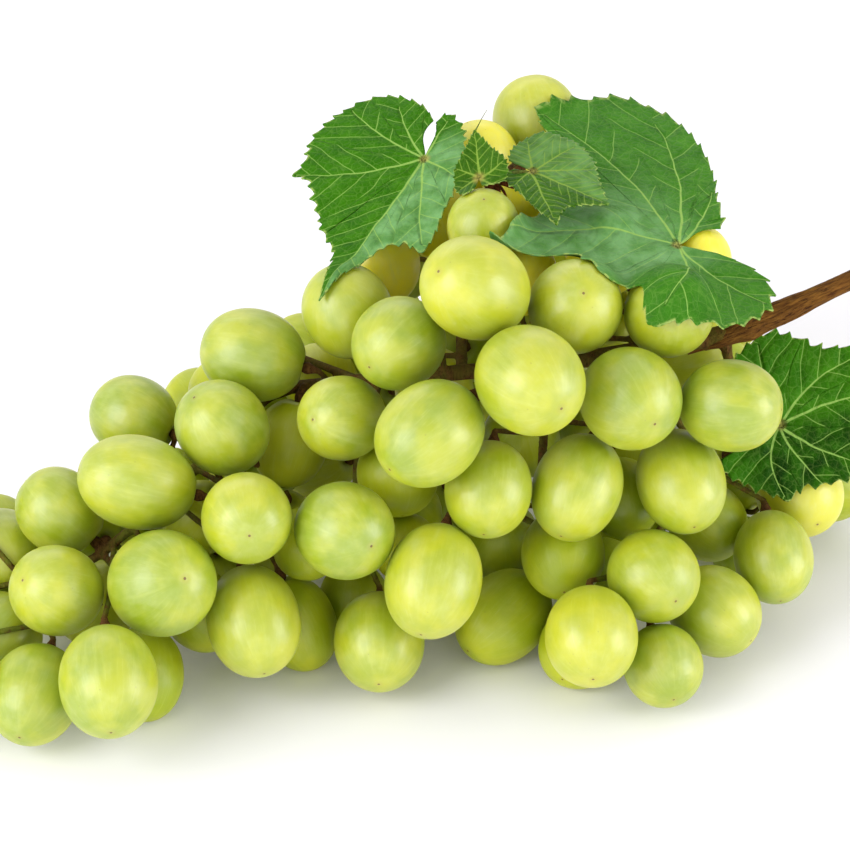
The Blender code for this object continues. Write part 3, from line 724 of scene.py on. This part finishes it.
def tube_points(path, radii, sides):
    """Rings of points round a path, with the ring before the first and after the last closed up."""
    path = np.asarray(path, dtype=float)
    ways = np.gradient(path, axis=0)
    first, _ = square_to(unit(ways[0]))
    rings = []
    turn = ring_turns(sides)
    for point, way, radius in zip(path, ways, radii):
        way = unit(way)
        first = unit(first - np.dot(first, way) * way)
        second = np.cross(way, first)
        rings.append(point + radius * (np.outer(np.cos(turn), first) + np.outer(np.sin(turn), second)))
    return np.vstack([np.repeat([path[0]], sides, axis=0), *rings, np.repeat([path[-1]], sides, axis=0)])


def stalk_tube(grape, crowd, stem, hidden):
    """A berry's cushion and stalk: from its dimple to the bark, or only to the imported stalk."""
    base = grape.base()
    start = base + grape.axis * 0.9
    if not hidden:
        path = [start, base, base - grape.axis * 0.8, base - grape.axis * 2.6]
        return np.array(path), CUSHION + [0.8]
    lead = base - grape.axis * 3
    goal = np.array(stem.find(Vector(lead))[0])
    count = max(4, int(np.linalg.norm(goal - lead) / 3))
    way = lead + (goal - lead) * np.linspace(0, 1, count)[:, None]
    for _ in range(STALK_PASSES):
        way[1:-1] = 0.5 * way[1:-1] + 0.25 * (way[:-2] + way[2:])
        way[1:-1] = crowd.push_out(way[1:-1], STALK_RADIUS + STALK_GAP)
    path = np.vstack([start, base, base - grape.axis * 0.8, base - grape.axis * 2, way])
    return path, CUSHION + [0.9] + [STALK_RADIUS] * len(way)


def smooth_path(points, count):
    """A curve through the points, evenly sampled."""
    points = np.asarray(points, dtype=float)
    reach = np.concatenate([[0], np.cumsum(np.linalg.norm(np.diff(points, axis=0), axis=1))])
    slopes = np.gradient(points, reach, axis=0)
    sample = np.linspace(0, reach[-1], count)
    k = np.clip(np.searchsorted(reach, sample) - 1, 0, len(points) - 2)
    span = (reach[k + 1] - reach[k])[:, None]
    t = (sample - reach[k])[:, None] / span
    a, b, ma, mb = points[k], points[k + 1], slopes[k] * span, slopes[k + 1] * span
    return (2 * t ** 3 - 3 * t ** 2 + 1) * a + (t ** 3 - 2 * t ** 2 + t) * ma \
        + (3 * t ** 2 - 2 * t ** 3) * b + (t ** 3 - t ** 2) * mb


def one_skin(solid, voxel):
    """The points, in millimetres, and faces of one closed skin over tubes that overlap."""
    mesh = bpy.data.meshes.new("raw_stalks")
    solid.to_mesh(mesh)
    raw = bpy.data.objects.new("raw_stalks", mesh)
    bpy.context.scene.collection.objects.link(raw)
    remesh = raw.modifiers.new("one_skin", "REMESH")
    remesh.mode = "VOXEL"
    remesh.voxel_size = voxel * MM
    smooth = raw.modifiers.new("even", "SMOOTH")
    smooth.factor = 0.5
    smooth.iterations = 4
    graph = bpy.context.evaluated_depsgraph_get()
    skin = bpy.data.meshes.new_from_object(raw.evaluated_get(graph))
    bpy.data.objects.remove(raw)
    points = np.empty(len(skin.vertices) * 3, dtype=np.float32)
    skin.vertices.foreach_get("co", points)
    return points.reshape(-1, 3) / MM, [tuple(face.vertices) for face in skin.polygons]


def build_stalks(grapes, crowd, stem, material):
    """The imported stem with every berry's cushion and stalk, as one skin of bark."""
    solid = welded("stem")
    for grape in grapes:
        path, radii = stalk_tube(grape, crowd, stem, grape.node in HIDDEN_NODES)
        corners = [solid.verts.new(point) for point in tube_points(path, radii, STALK_SIDES) * MM]
        for face in grid_faces(len(path) + 2, STALK_SIDES, True):
            solid.faces.new([corners[k] for k in face])
    points, faces = one_skin(solid, BARK_VOXEL)
    solid.free()
    bases = np.array([grape.base() for grape in grapes])
    near = np.min([np.linalg.norm(points - base, axis=1) for base in bases], axis=0)
    # Bark deep in the bunch is younger and greener than the bark on top of it.
    deep = np.interp(points[:, 2], [20, 55], [1.0, 0.35])
    youth = np.clip((near - 2.0) / 4, 0, 1) * deep
    piece = shape("bunch_stalks", points * MM, faces, material, {"wood": points * 0.9, "youth": youth})
    hand_in(piece, "vine_bark", "stem")


# The cane's middle line from its cut end inwards, its radius along it and the knot near its far end.
CANE = [(0.0, 0.0, 0.0), (-9, -3, -3.0), (-18, -6, -6.0), (-27, -9.2, -9.0), (-36, -12, -12),
        (-43, -14, -14), (-47, -15, -15.5), (-51, -15, -17), (-54.5, -15.5, -18.4)]
CANE_RADII = [2.0, 2.05, 2.1, 2.1, 2.25, 2.8, 2.75, 2.2, 1.0]
CANE_LENGTH = 58
CANE_SIDES = 56
CANE_ROWS = 230
KNOT_AT = 44
KNOT_REACH = 3.0
RIDGE_COUNTS = (3, 4, 5, 7, 9, 12)
RIDGE_HEIGHT = 0.16


def build_cane(material):
    """The woody cane with its knot, ridged along its length."""
    sides, rows = CANE_SIDES, CANE_ROWS
    high = np.array(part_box("stem")[1]) / MM
    points = np.array([point.co for point in NODES["stem"].data.vertices]) / MM
    end = points[points[:, 0] > high[0] - 1.5].mean(axis=0)
    path = smooth_path(np.array(CANE) + end, rows)
    radii = spread(CANE_RADII, rows)
    rings = tube_points(path, radii, sides).reshape(rows + 2, sides, 3)
    turn = ring_turns(sides)
    along = np.linspace(0, CANE_LENGTH, rows)
    draw = np.random.default_rng(5)
    rise = np.zeros((rows, sides))
    for count in RIDGE_COUNTS:
        drift = draw.uniform(-0.06, 0.06)
        wave = np.sin(count * (turn + drift * along[:, None]) + draw.uniform(0, 6.28))
        rise += wave * RIDGE_HEIGHT / count ** 0.4
    rise *= 0.75 + 0.5 * np.sin(along * 0.21 + 1)[:, None]
    knot = hill(along, KNOT_AT, KNOT_REACH)[:, None] * (0.4 + 0.35 * np.sin(2 * turn + 0.6))
    centre = path[:, None, :]
    rings[1:-1] = centre + (rings[1:-1] - centre) * (1 + (rise + knot) / radii[:, None])[..., None]
    wood = np.empty((rows + 2, sides, 3))
    wood[..., 0] = radii.mean() * np.cos(turn)
    wood[..., 1] = radii.mean() * np.sin(turn)
    wood[..., 2] = np.concatenate([[0], along, [CANE_LENGTH]])[:, None]
    piece = shape("cane", rings.reshape(-1, 3) * MM, grid_faces(rows + 2, sides, True), material,
                  {"wood": wood.reshape(-1, 3), "youth": np.zeros((rows + 2) * sides)})
    close_poles(piece)
    hand_in(piece, "vine_bark", "stem")


# --- leaves ---

GREEN = {"dark": (0.015, 0.105, 0.001), "light": (0.050, 0.205, 0.004), "vein": (0.31, 0.52, 0.11),
         "through": (0.25, 0.5, 0.02), "down": 0.0, "quilt": 0.34, "sheen": 0.0, "shine": 0.05,
         "bloomed": (0.19, 0.41, 0.15), "droop": 0.004}
YOUNG = {"dark": (0.012, 0.065, 0.001), "light": (0.05, 0.16, 0.004), "vein": (0.24, 0.38, 0.05),
         "through": (0.4, 0.6, 0.04), "down": 0.15, "quilt": 0.25, "sheen": 0.1, "shine": 0.08,
         "bloomed": (0.14, 0.31, 0.075)}

# Each leaf's facts:
# junction, along, up: where its petiole meets the blade, its middle vein's direction, its upper side
# outline, tips: its edge as (angle, radius), and the angles of it that are sharp tips
# smooth, tooth: a stretch of angles with small teeth, and the length of a tooth
# droop, fold: how it hangs at its edge and how both halves rise from the middle vein
# lies_on_berries: it is laid over every berry beneath it, and not only lifted off those that cut it
# raised: a swelling as (u, v, reach, height)
# sinus: the turn of the two edges at its petiole
# bloom: the v at which its side of painted light starts and is full, then the same for u; a paler bluish
# sheen, on leaf_right a painted shade
# veins: main veins as (angle, length, bow); side_gap, side_lean: spacing and slant of side veins
# petiole: its path from the junction to the wood
LEAVES = {}


def leaf(name, **facts):
    """Add a leaf. Most leaves have no turned edges, smooth stretch or swelling."""
    LEAVES[name] = {"sinus": (0, 0), "smooth": (0, 0), "raised": None, "lies_on_berries": False, **facts}


leaf("leaf_left", junction=(0, 43, 93), along=(-23, -40, -14), up=(-2, -2, 9),
     outline=[(-160.5, 12.8), (-150, 18), (-132, 26), (-107, 27), (-86, 28), (-75, 27), (-66, 27),
              (-61, 30.4), (-58, 26), (-43, 26), (-20, 30), (-7, 33), (0, 48), (5, 34), (11, 28),
              (19, 26), (28, 31), (35, 25), (52, 16.5), (67, 12.5), (100, 9), (143, 10), (170, 13),
              (190, 16.5), (197.5, 12.8)],
     tips=(-61, 0, 28), fold=0.2, lies_on_berries=True, sinus=(12, -6),
     bloom=(-0.7, 0.9, 60, 50),
     veins=[(-135, 20, 1), (-111, 26, 1.5), (-61, 30, 2.5), (0, 47, 0), (28, 29, -0.5), (65, 13, 0.5),
            (187, 14, 0)],
     side_gap=5.2, side_lean=0.85, tooth=3.3,
     petiole=[(3, 40.5, 91.5), (9, 35, 90), (12.6, 31.3, 90)], **GREEN)
leaf("leaf_big", junction=(55.2, 18, 85), along=(-29, 52, 8), up=(1, -1.4, 9),
     outline=[(-84, 12.3), (-74, 14.5), (-66, 17), (-58, 20), (-47, 32.5), (-36, 46.3), (-28, 54),
              (-20, 59), (-12, 59), (2.2, 58.5), (4.5, 48.5), (8, 40), (18, 34), (30, 30), (44, 31),
              (58, 34.5), (70, 38.6), (78, 44.5), (79.5, 38), (82, 29), (90, 26), (103, 26),
              (112, 26.5), (120, 20.5), (127, 21.5), (136, 31), (155, 28), (171, 31), (182, 29),
              (192, 28), (206, 24), (214, 20), (222, 15), (229, 9)],
     tips=(2.2, 78, 112, 136), fold=0.06, lies_on_berries=True, sinus=(14, 0),
     raised=(9, 43, 9, 4.4), smooth=(38, 78),
     bloom=(-14, 6, 34, 12),
     veins=[(2, 57, -4.5), (-26, 50, -3), (-52, 24, -1.5), (70, 42, -6), (140, 27, 4), (194, 27, -2)],
     side_gap=8.5, side_lean=0.9, tooth=4.8,
     petiole=[(60, 15, 82), (65, 12.5, 75), (66.5, 12.3, 68)],
     **{**GREEN, "dark": (0.019, 0.125, 0.003), "light": (0.060, 0.235, 0.012), "shine": 0.12})
leaf("leaf_right", junction=(79.5, 12, 42.6), along=(20, 4, 3), up=(1, -8, 6),
     outline=[(-163, 15.5), (-151, 16.8), (-137, 15.3), (-125, 15.3), (-109, 15.3), (-98, 17.5),
              (-84, 14), (-68, 16.3), (-55, 18.5), (-36, 24), (-18, 25), (0, 32), (16, 26), (32, 25),
              (48, 19), (66, 20), (84, 21), (100, 19), (120, 17), (140, 17), (152, 14), (172, 9),
              (190, 7)],
     tips=(-98, 0), fold=0.08,
     # Its painted light is painted shade, darker over the lower part of the blade.
     bloom=(1.5, -3.5, 60, 50),
     veins=[(-36, 24, -1.5), (3, 31, 1.5), (28, 24, 2), (91, 19, 1), (-67, 17, -1), (-100, 17, -2.5),
            (140, 14, 0)],
     side_gap=5.4, side_lean=0.85, tooth=3.4,
     petiole=[(76, 10.5, 45), (71, 9, 51), (67.5, 10.3, 57.5), (67, 10.6, 61)],
     **{**GREEN, "bloomed": (0.001, 0.024, 0.000)})
leaf("leaf_young_left", junction=(12.2, 27.5, 96.5), along=(-1, 4.5, 7), up=(-2, -7, 5),
     outline=[(-150, 2), (-125, 3), (-105, 5.5), (-88, 6.6), (-60, 7.5), (-30, 7), (0, 11), (30, 6.5),
              (60, 6), (90, 5.5), (115, 5.5), (140, 4.5), (165, 2.5)],
     tips=(0,), droop=0.01, fold=0.35,
     bloom=(20, 30, 60, 50),
     veins=[(0, 10.5, 0), (-60, 7, 0), (60, 5.5, 0), (-120, 5, 0), (120, 5, 0)],
     side_gap=2.0, side_lean=0.9, tooth=1.2,
     petiole=[(12.6, 27.7, 96), (13.6, 28.8, 95.2)], **{**YOUNG, "down": 0.1})
leaf("leaf_young_right", junction=(23.6, 30.2, 96.8), along=(15, -12, -1), up=(2, -3, 9),
     outline=[(-150, 4), (-120, 7), (-95, 7), (-62, 10), (-48, 14), (-38, 21), (-26, 15),
              (-12, 16), (0, 21), (20, 15), (45, 14), (70, 14), (93, 14.5), (120, 15),
              (150, 11), (175, 7)],
     tips=(-38, 0), droop=0.006, fold=0.12,
     bloom=(-0.8, 1.2, 60, 50),
     veins=[(0, 20, 0), (-38, 19, 0), (38, 14, 0), (80, 13, 0), (-85, 7, 0), (132, 12, 0)],
     side_gap=2.4, side_lean=0.9, tooth=1.9,
     petiole=[(20.5, 29.5, 97.2), (16.2, 29.6, 95.6)], **YOUNG)


# The node of the two young leaves: pointed scales and a tendril stub, each as (path, radii).
SCALES = [
    ([(15.6, 29.3, 94.2), (14.6, 28.2, 94.4), (13.2, 27.4, 93.6), (12.2, 27.2, 93.0)],
     [0.9, 1.2, 0.8, 0.1]),
    ([(15.4, 29.0, 94.6), (16.0, 28.0, 93.6), (16.4, 27.2, 92.2), (16.6, 27.0, 91.2)],
     [0.8, 1.0, 0.6, 0.1]),
    ([(16.0, 29.4, 95.0), (17.6, 28.8, 94.8), (19.0, 28.6, 94.0), (20.0, 28.6, 93.4)],
     [0.8, 1.1, 0.7, 0.1]),
    ([(15.8, 29.2, 95.2), (16.4, 28.6, 96.4), (17.4, 28.4, 97.4), (18.2, 28.4, 98.0)],
     [0.8, 0.9, 0.5, 0.1]),
    ([(14.8, 29.2, 95.2), (13.8, 28.6, 96.0), (13.0, 28.3, 96.6)],
     [0.7, 0.9, 0.2]),
    ([(16.4, 29.2, 94.0), (17.6, 28.0, 92.6), (18.0, 27.4, 91.0), (17.4, 27.0, 89.8)],
     [0.5, 0.45, 0.35, 0.2]),
]
SCALE_SIZE = 0.7
HAIR = ([(10.6, 33.2, 104.6), (11.6, 33.6, 106.4), (12.6, 33.9, 108.4), (13.6, 34.0, 110.2)],
        [0.28, 0.13, 0.08, 0.06])

# One tooth of an edge as (share of its length, share of its height), and its height per length.
TOOTH = [(0.0, 0.0), (0.15, 0.12), (0.3, 0.24), (0.45, 0.42), (0.6, 0.7), (0.72, 1.0), (0.78, 0.92),
         (0.86, 0.45), (0.94, 0.08)]
TOOTH_HEIGHT = 0.36
SMOOTH_TEETH = 0.15          # height of the teeth on a smooth stretch, as a share of the others


def toothed_edge(facts):
    """The blade's edge in its own plane: rounded lobes, sharp tips and a tooth every few millimetres."""
    corners = []
    for angle, radius in facts["outline"]:
        turn = math.radians(angle)
        corners.append((radius * math.cos(turn), radius * math.sin(turn), angle in facts["tips"]))
    for _ in range(2):
        cut = [corners[0]]
        for (x0, y0, sharp0), (x1, y1, sharp1) in zip(corners, corners[1:]):
            near, far = (0.0 if sharp0 else 0.25), (1.0 if sharp1 else 0.75)
            cut.append((x0 + (x1 - x0) * near, y0 + (y1 - y0) * near, sharp0))
            cut.append((x0 + (x1 - x0) * far, y0 + (y1 - y0) * far, sharp1))
        cut.append(corners[-1])
        corners = [point for k, point in enumerate(cut) if k == 0 or point[:2] != cut[k - 1][:2]]
    line = np.array([point[:2] for point in corners])
    sharp = np.array([point[2] for point in corners])
    reach = np.concatenate([[0], np.cumsum(np.linalg.norm(np.diff(line, axis=0), axis=1))])
    stops = [0.0, *reach[sharp], reach[-1]]
    draw = np.random.default_rng(len(facts["outline"]))
    edge, heights = [], []
    for number, (start, end) in enumerate(zip(stops, stops[1:])):
        teeth = max(1, round((end - start) / facts["tooth"]))
        bounds = np.linspace(start, end, teeth + 1)
        bounds[1:-1] += draw.uniform(-0.2, 0.2, teeth - 1) * facts["tooth"]
        for low, high in zip(bounds, bounds[1:]):
            size = draw.uniform(0.7, 1.3)
            to_next = number == 0 or (low + high > start + end and number < len(stops) - 2)
            turned = [(1 - share, rise) for share, rise in TOOTH[::-1]]
            for share, rise in TOOTH if to_next else turned:
                edge.append(low + (high - low) * share)
                heights.append(rise * size)
    edge.append(reach[-1])
    heights.append(0)
    edge, heights = np.array(edge), np.array(heights) * facts["tooth"] * TOOTH_HEIGHT
    base = np.stack([np.interp(edge, reach, line[:, axis]) for axis in range(2)], axis=1)
    low, high = facts["smooth"]
    angles = np.degrees(np.arctan2(base[:, 1], base[:, 0]))
    heights *= np.where((angles > low) & (angles < high), SMOOTH_TEETH, 1)
    outward = base / np.linalg.norm(base, axis=1)[:, None]
    for stop in [0.0, *stops[1:-1], reach[-1]]:
        heights *= 1 - hill(edge, stop, 0.45 * facts["tooth"])
    return base + outward * heights[:, None]


def softened(heights):
    """The heights of a grid, each evened out with its four neighbours."""
    wide = np.pad(heights, 1, mode="edge")
    beside = wide[:-2, 1:-1] + wide[2:, 1:-1] + wide[1:-1, :-2] + wide[1:-1, 2:]
    return (beside + 4 * wide[1:-1, 1:-1]) / 8


def drape(facts, crowd):
    """Heights of a blade on a square grid of its own plane, laid over the berries beneath it."""
    along = unit(facts["along"])
    up = np.array(facts["up"], dtype=float)
    up = unit(up - np.dot(up, along) * along)
    side = np.cross(up, along)
    junction = np.array(facts["junction"]) + facts["shift"]
    size = max(radius for _, radius in facts["outline"]) + 6
    ticks = np.arange(-size, size + DRAPE_STEP, DRAPE_STEP)
    u, v = np.meshgrid(ticks, ticks, indexing="ij")
    flat = junction + u[..., None] * along + v[..., None] * side
    height = -facts["droop"] * (u ** 2 + v ** 2) + facts["fold"] * np.sqrt(v ** 2 + 1)
    need = crowd.lift_over(flat.reshape(-1, 3), up, BLADE_LIFT, not facts["lies_on_berries"])
    need = need.reshape(u.shape)
    height = np.maximum(height, need)
    for _ in range(DRAPE_PASSES):
        height = np.maximum(softened(height), need)
    height = softened(softened(height))
    if facts["raised"]:
        near_u, near_v, reach, rise = facts["raised"]
        height += rise * np.exp(-((u - near_u) ** 2 + (v - near_v) ** 2) / (2 * reach ** 2))
    return junction, along, side, up, ticks, height


def grid_value(ticks, values, u, v):
    """Values of a square grid at points between its ticks."""
    a = np.clip((u - ticks[0]) / DRAPE_STEP, 0, len(ticks) - 1.001)
    b = np.clip((v - ticks[0]) / DRAPE_STEP, 0, len(ticks) - 1.001)
    i, j = a.astype(int), b.astype(int)
    s, t = a - i, b - j
    return ((1 - s) * (1 - t) * values[i, j] + s * (1 - t) * values[i + 1, j]
            + (1 - s) * t * values[i, j + 1] + s * t * values[i + 1, j + 1])


def build_leaf(name, facts, crowd):
    """The blade: rows of points from the junction out to the toothed edge, laid over the berries."""
    material = leaf_green(name + "_blade", facts)
    junction, along, side, up, ticks, height = drape(facts, crowd)
    edge = toothed_edge(facts)
    size = max(radius for _, radius in facts["outline"])
    rows = int(np.clip(size, 22, 56))
    share = np.linspace(0, 1, rows + 1)[1:] ** 0.9
    reach = np.arange(len(edge)) / len(edge)
    curve = [np.exp(-(distance * SINUS_FADE) ** 2) * math.radians(angle)
             for distance, angle in zip((reach, 1 - reach), facts["sinus"])]
    turn = np.sin(share * math.pi)[:, None] * (curve[0] + curve[1])[None, :]
    u = share[:, None] * (edge[:, 0] * np.cos(turn) - edge[:, 1] * np.sin(turn))
    v = share[:, None] * (edge[:, 0] * np.sin(turn) + edge[:, 1] * np.cos(turn))
    lift = grid_value(ticks, height, u, v)
    wave = np.sin(reach * 61) * 0.35 + np.sin(reach * 23 + 1) * 0.5
    curl = share[:, None] ** 4 * wave * min(1, size / 30)
    rise = lift + np.maximum(curl, -0.1)
    points = junction + u[..., None] * along + v[..., None] * side + rise[..., None] * up
    middle = junction + up * grid_value(ticks, height, np.zeros(1), np.zeros(1))
    points = np.vstack([[middle], points.reshape(-1, 3)])
    columns = len(edge)
    faces = [(0, 1 + k, 2 + k) for k in range(columns - 1)]
    faces += [tuple(1 + k for k in face) for face in grid_faces(rows, columns, False)]
    flat = np.vstack([[0, 0, 0], np.stack([u, v, np.zeros_like(u)], axis=-1).reshape(-1, 3)])
    rim = np.concatenate([[0], np.repeat(share, columns)])
    blade = shape(name + "_blade", points * MM, faces, material, {"flat": flat, "edge": rim})
    thick = blade.modifiers.new("thickness", "SOLIDIFY")
    thick.thickness = BLADE_THICKNESS * MM
    thick.offset = 0
    hand_in(blade, "young_leaf" if "young" in name else "vine_leaf", name)


def build_petiole(name, facts, material):
    """The leaf's own stalk: it leaves from under the blade and thickens towards the wood."""
    rows, sides = PETIOLE_ROWS, PETIOLE_SIDES
    thin = YOUNG_PETIOLE_RADIUS if "young" in name else PETIOLE_RADIUS
    path = smooth_path(np.array([facts["junction"], *facts["petiole"]]) + facts["shift"], rows)
    path -= unit(facts["up"]) * (0.9 * thin * np.exp(-np.linspace(0, 5, rows)))[:, None]
    radii = thin * (1 + 0.35 * np.linspace(0, 1, rows) ** 3)
    points = tube_points(path, radii, sides)
    reach = np.repeat(np.linspace(0, 20, rows + 2), sides)
    turn = np.tile(ring_turns(sides), rows + 2)
    wood = np.stack([np.cos(turn), np.sin(turn), reach], axis=1)
    piece = shape(name + "_petiole", points * MM, grid_faces(rows + 2, sides, True), material,
                  {"wood": wood, "youth": np.full(len(points), 0.8)})
    close_poles(piece)
    hand_in(piece, "vine_bark")


def tubes_piece(name, tubes, sides, rows, material, youth):
    """One piece of round tubes, each given as (path, radii) in the frame of the leaves' table."""
    points, faces, wood = [], [], []
    for path, radii in tubes:
        path = smooth_path(np.array(path) + tables_origin(), rows)
        rings = tube_points(path, spread(radii, rows), sides)
        add_grid(points, faces, rings, rows + 2, sides)
        wood.append((rings - path[0]) * 0.8)
    points = np.vstack(points)
    piece = shape(name, points * MM, faces, material,
                  {"wood": np.vstack(wood), "youth": np.full(len(points), youth)})
    close_poles(piece)
    return piece


def build_shoot(hair_finish, scale_finish):
    """The scales and the tendril stub round the young leaves' node, and a young leaf's hair tip."""
    scales = [(path, [radius * SCALE_SIZE for radius in radii]) for path, radii in SCALES]
    hand_in(tubes_piece("shoot_scales", scales, 10, 14, scale_finish, 0), "vine_bark")
    hand_in(tubes_piece("leaf_young_left_hair", [HAIR], 8, 24, hair_finish, 0.8), "young_leaf")


# --- build ---

# Each soft light: its direction from the bunch, its distance, width and height in metres, its power.
SOFTBOXES = {
    "left_softbox": ((-0.70, -0.56, 0.46), 0.9, 0.56, 0.66, 5.9),
    "right_softbox": ((0.93, -0.34, 0.22), 0.9, 0.42, 0.56, 4.3),
    "back_softbox": ((-0.25, 0.75, 0.60), 1.1, 1.2, 0.45, 2.4),
    "front_reflector": ((0.1, -0.97, 0.08), 1.2, 1.6, 0.5, 3.6),
}
SKY = (1, 0.99, 0.95)
SKY_STRENGTH = 0.86
FLOOR_HALF = 3               # half the floor's width in metres


def softbox(name, direction, distance, width, height, power):
    """A soft light aimed at the middle of the bunch."""
    light = bpy.data.lights.new(name, "AREA")
    light.shape = "RECTANGLE"
    light.size, light.size_y = width, height
    light.energy = power
    lamp = bpy.data.objects.new(name, light)
    middle = Vector((0, 0, CAMERA_HEIGHT * MM))
    way = Vector(direction).normalized()
    lamp.location = middle + way * distance
    lamp.rotation_euler = way.to_track_quat("Z", "Y").to_euler()
    bpy.context.scene.collection.objects.link(lamp)


def build_studio():
    corners = [(x * FLOOR_HALF, y * FLOOR_HALF, 0) for x, y in ((-1, -1), (1, -1), (1, 1), (-1, 1))]
    floor = shape("floor", corners, [(0, 1, 2, 3)], studio_floor())
    for name, facts in SOFTBOXES.items():
        softbox(name, *facts)
    world = bpy.data.worlds.new("studio")
    world.use_nodes = True
    world.node_tree.nodes["Background"].inputs["Color"].default_value = (*SKY, 1)
    world.node_tree.nodes["Background"].inputs["Strength"].default_value = SKY_STRENGTH
    bpy.context.scene.world = world
    bpy.context.scene.view_settings.view_transform = "Standard"


def build_camera():
    lens = bpy.data.cameras.new("camera")
    lens.sensor_width = 36
    lens.lens = CAMERA_LENS
    camera = bpy.data.objects.new("camera", lens)
    target = Vector((*tables_origin()[:2], CAMERA_HEIGHT)) * MM
    tilt = math.radians(CAMERA_TILT)
    back = Vector((0, -math.cos(tilt), math.sin(tilt)))
    camera.location = target + back * CAMERA_DISTANCE * MM
    camera.rotation_euler = back.to_track_quat("Z", "Y").to_euler()
    bpy.context.scene.collection.objects.link(camera)
    bpy.context.scene.camera = camera


def build_bunch():
    grapes, stem = find_grapes()
    crowd = Crowd(grapes)
    outer = grape_skin("grape_skin", deep=(0.27, 0.36, 0.003), bright=(0.42, 0.465, 0.008),
                       waxy=1.0, gloss=0.85)
    # A shaded copy of the skin: its more saturated colour and thin bloom are painted shade for berries
    # deep in the bunch.
    shaded_skin = grape_skin("grape_skin_shaded", deep=(0.29, 0.37, 0.001), bright=(0.40, 0.45, 0.004),
                       waxy=0.2, gloss=0.45)
    build_grapes(grapes, crowd, outer, shaded_skin)
    build_stalks(grapes, crowd, stem, bark("stalk_bark", deep=(0.045, 0.018, 0.006),
                                           pale=(0.23, 0.105, 0.030), green=(0.14, 0.17, 0.016)))
    build_cane(bark("cane_bark", deep=(0.050, 0.014, 0.004), pale=(0.29, 0.132, 0.022),
                    green=(0.16, 0.17, 0.04)))
    green_stalk = bark("petiole_bark", deep=(0.07, 0.06, 0.012), pale=(0.17, 0.17, 0.03),
                       green=(0.16, 0.22, 0.04))
    for name, facts in LEAVES.items():
        facts["shift"] = tables_origin()
        build_leaf(name, facts, crowd)
        build_petiole(name, facts, green_stalk)
    build_shoot(green_stalk, bark("scale_bark", deep=(0.06, 0.010, 0.004), pale=(0.24, 0.075, 0.022),
                                  green=(0.2, 0.2, 0.05)))


build_bunch()
build_studio()
build_camera()
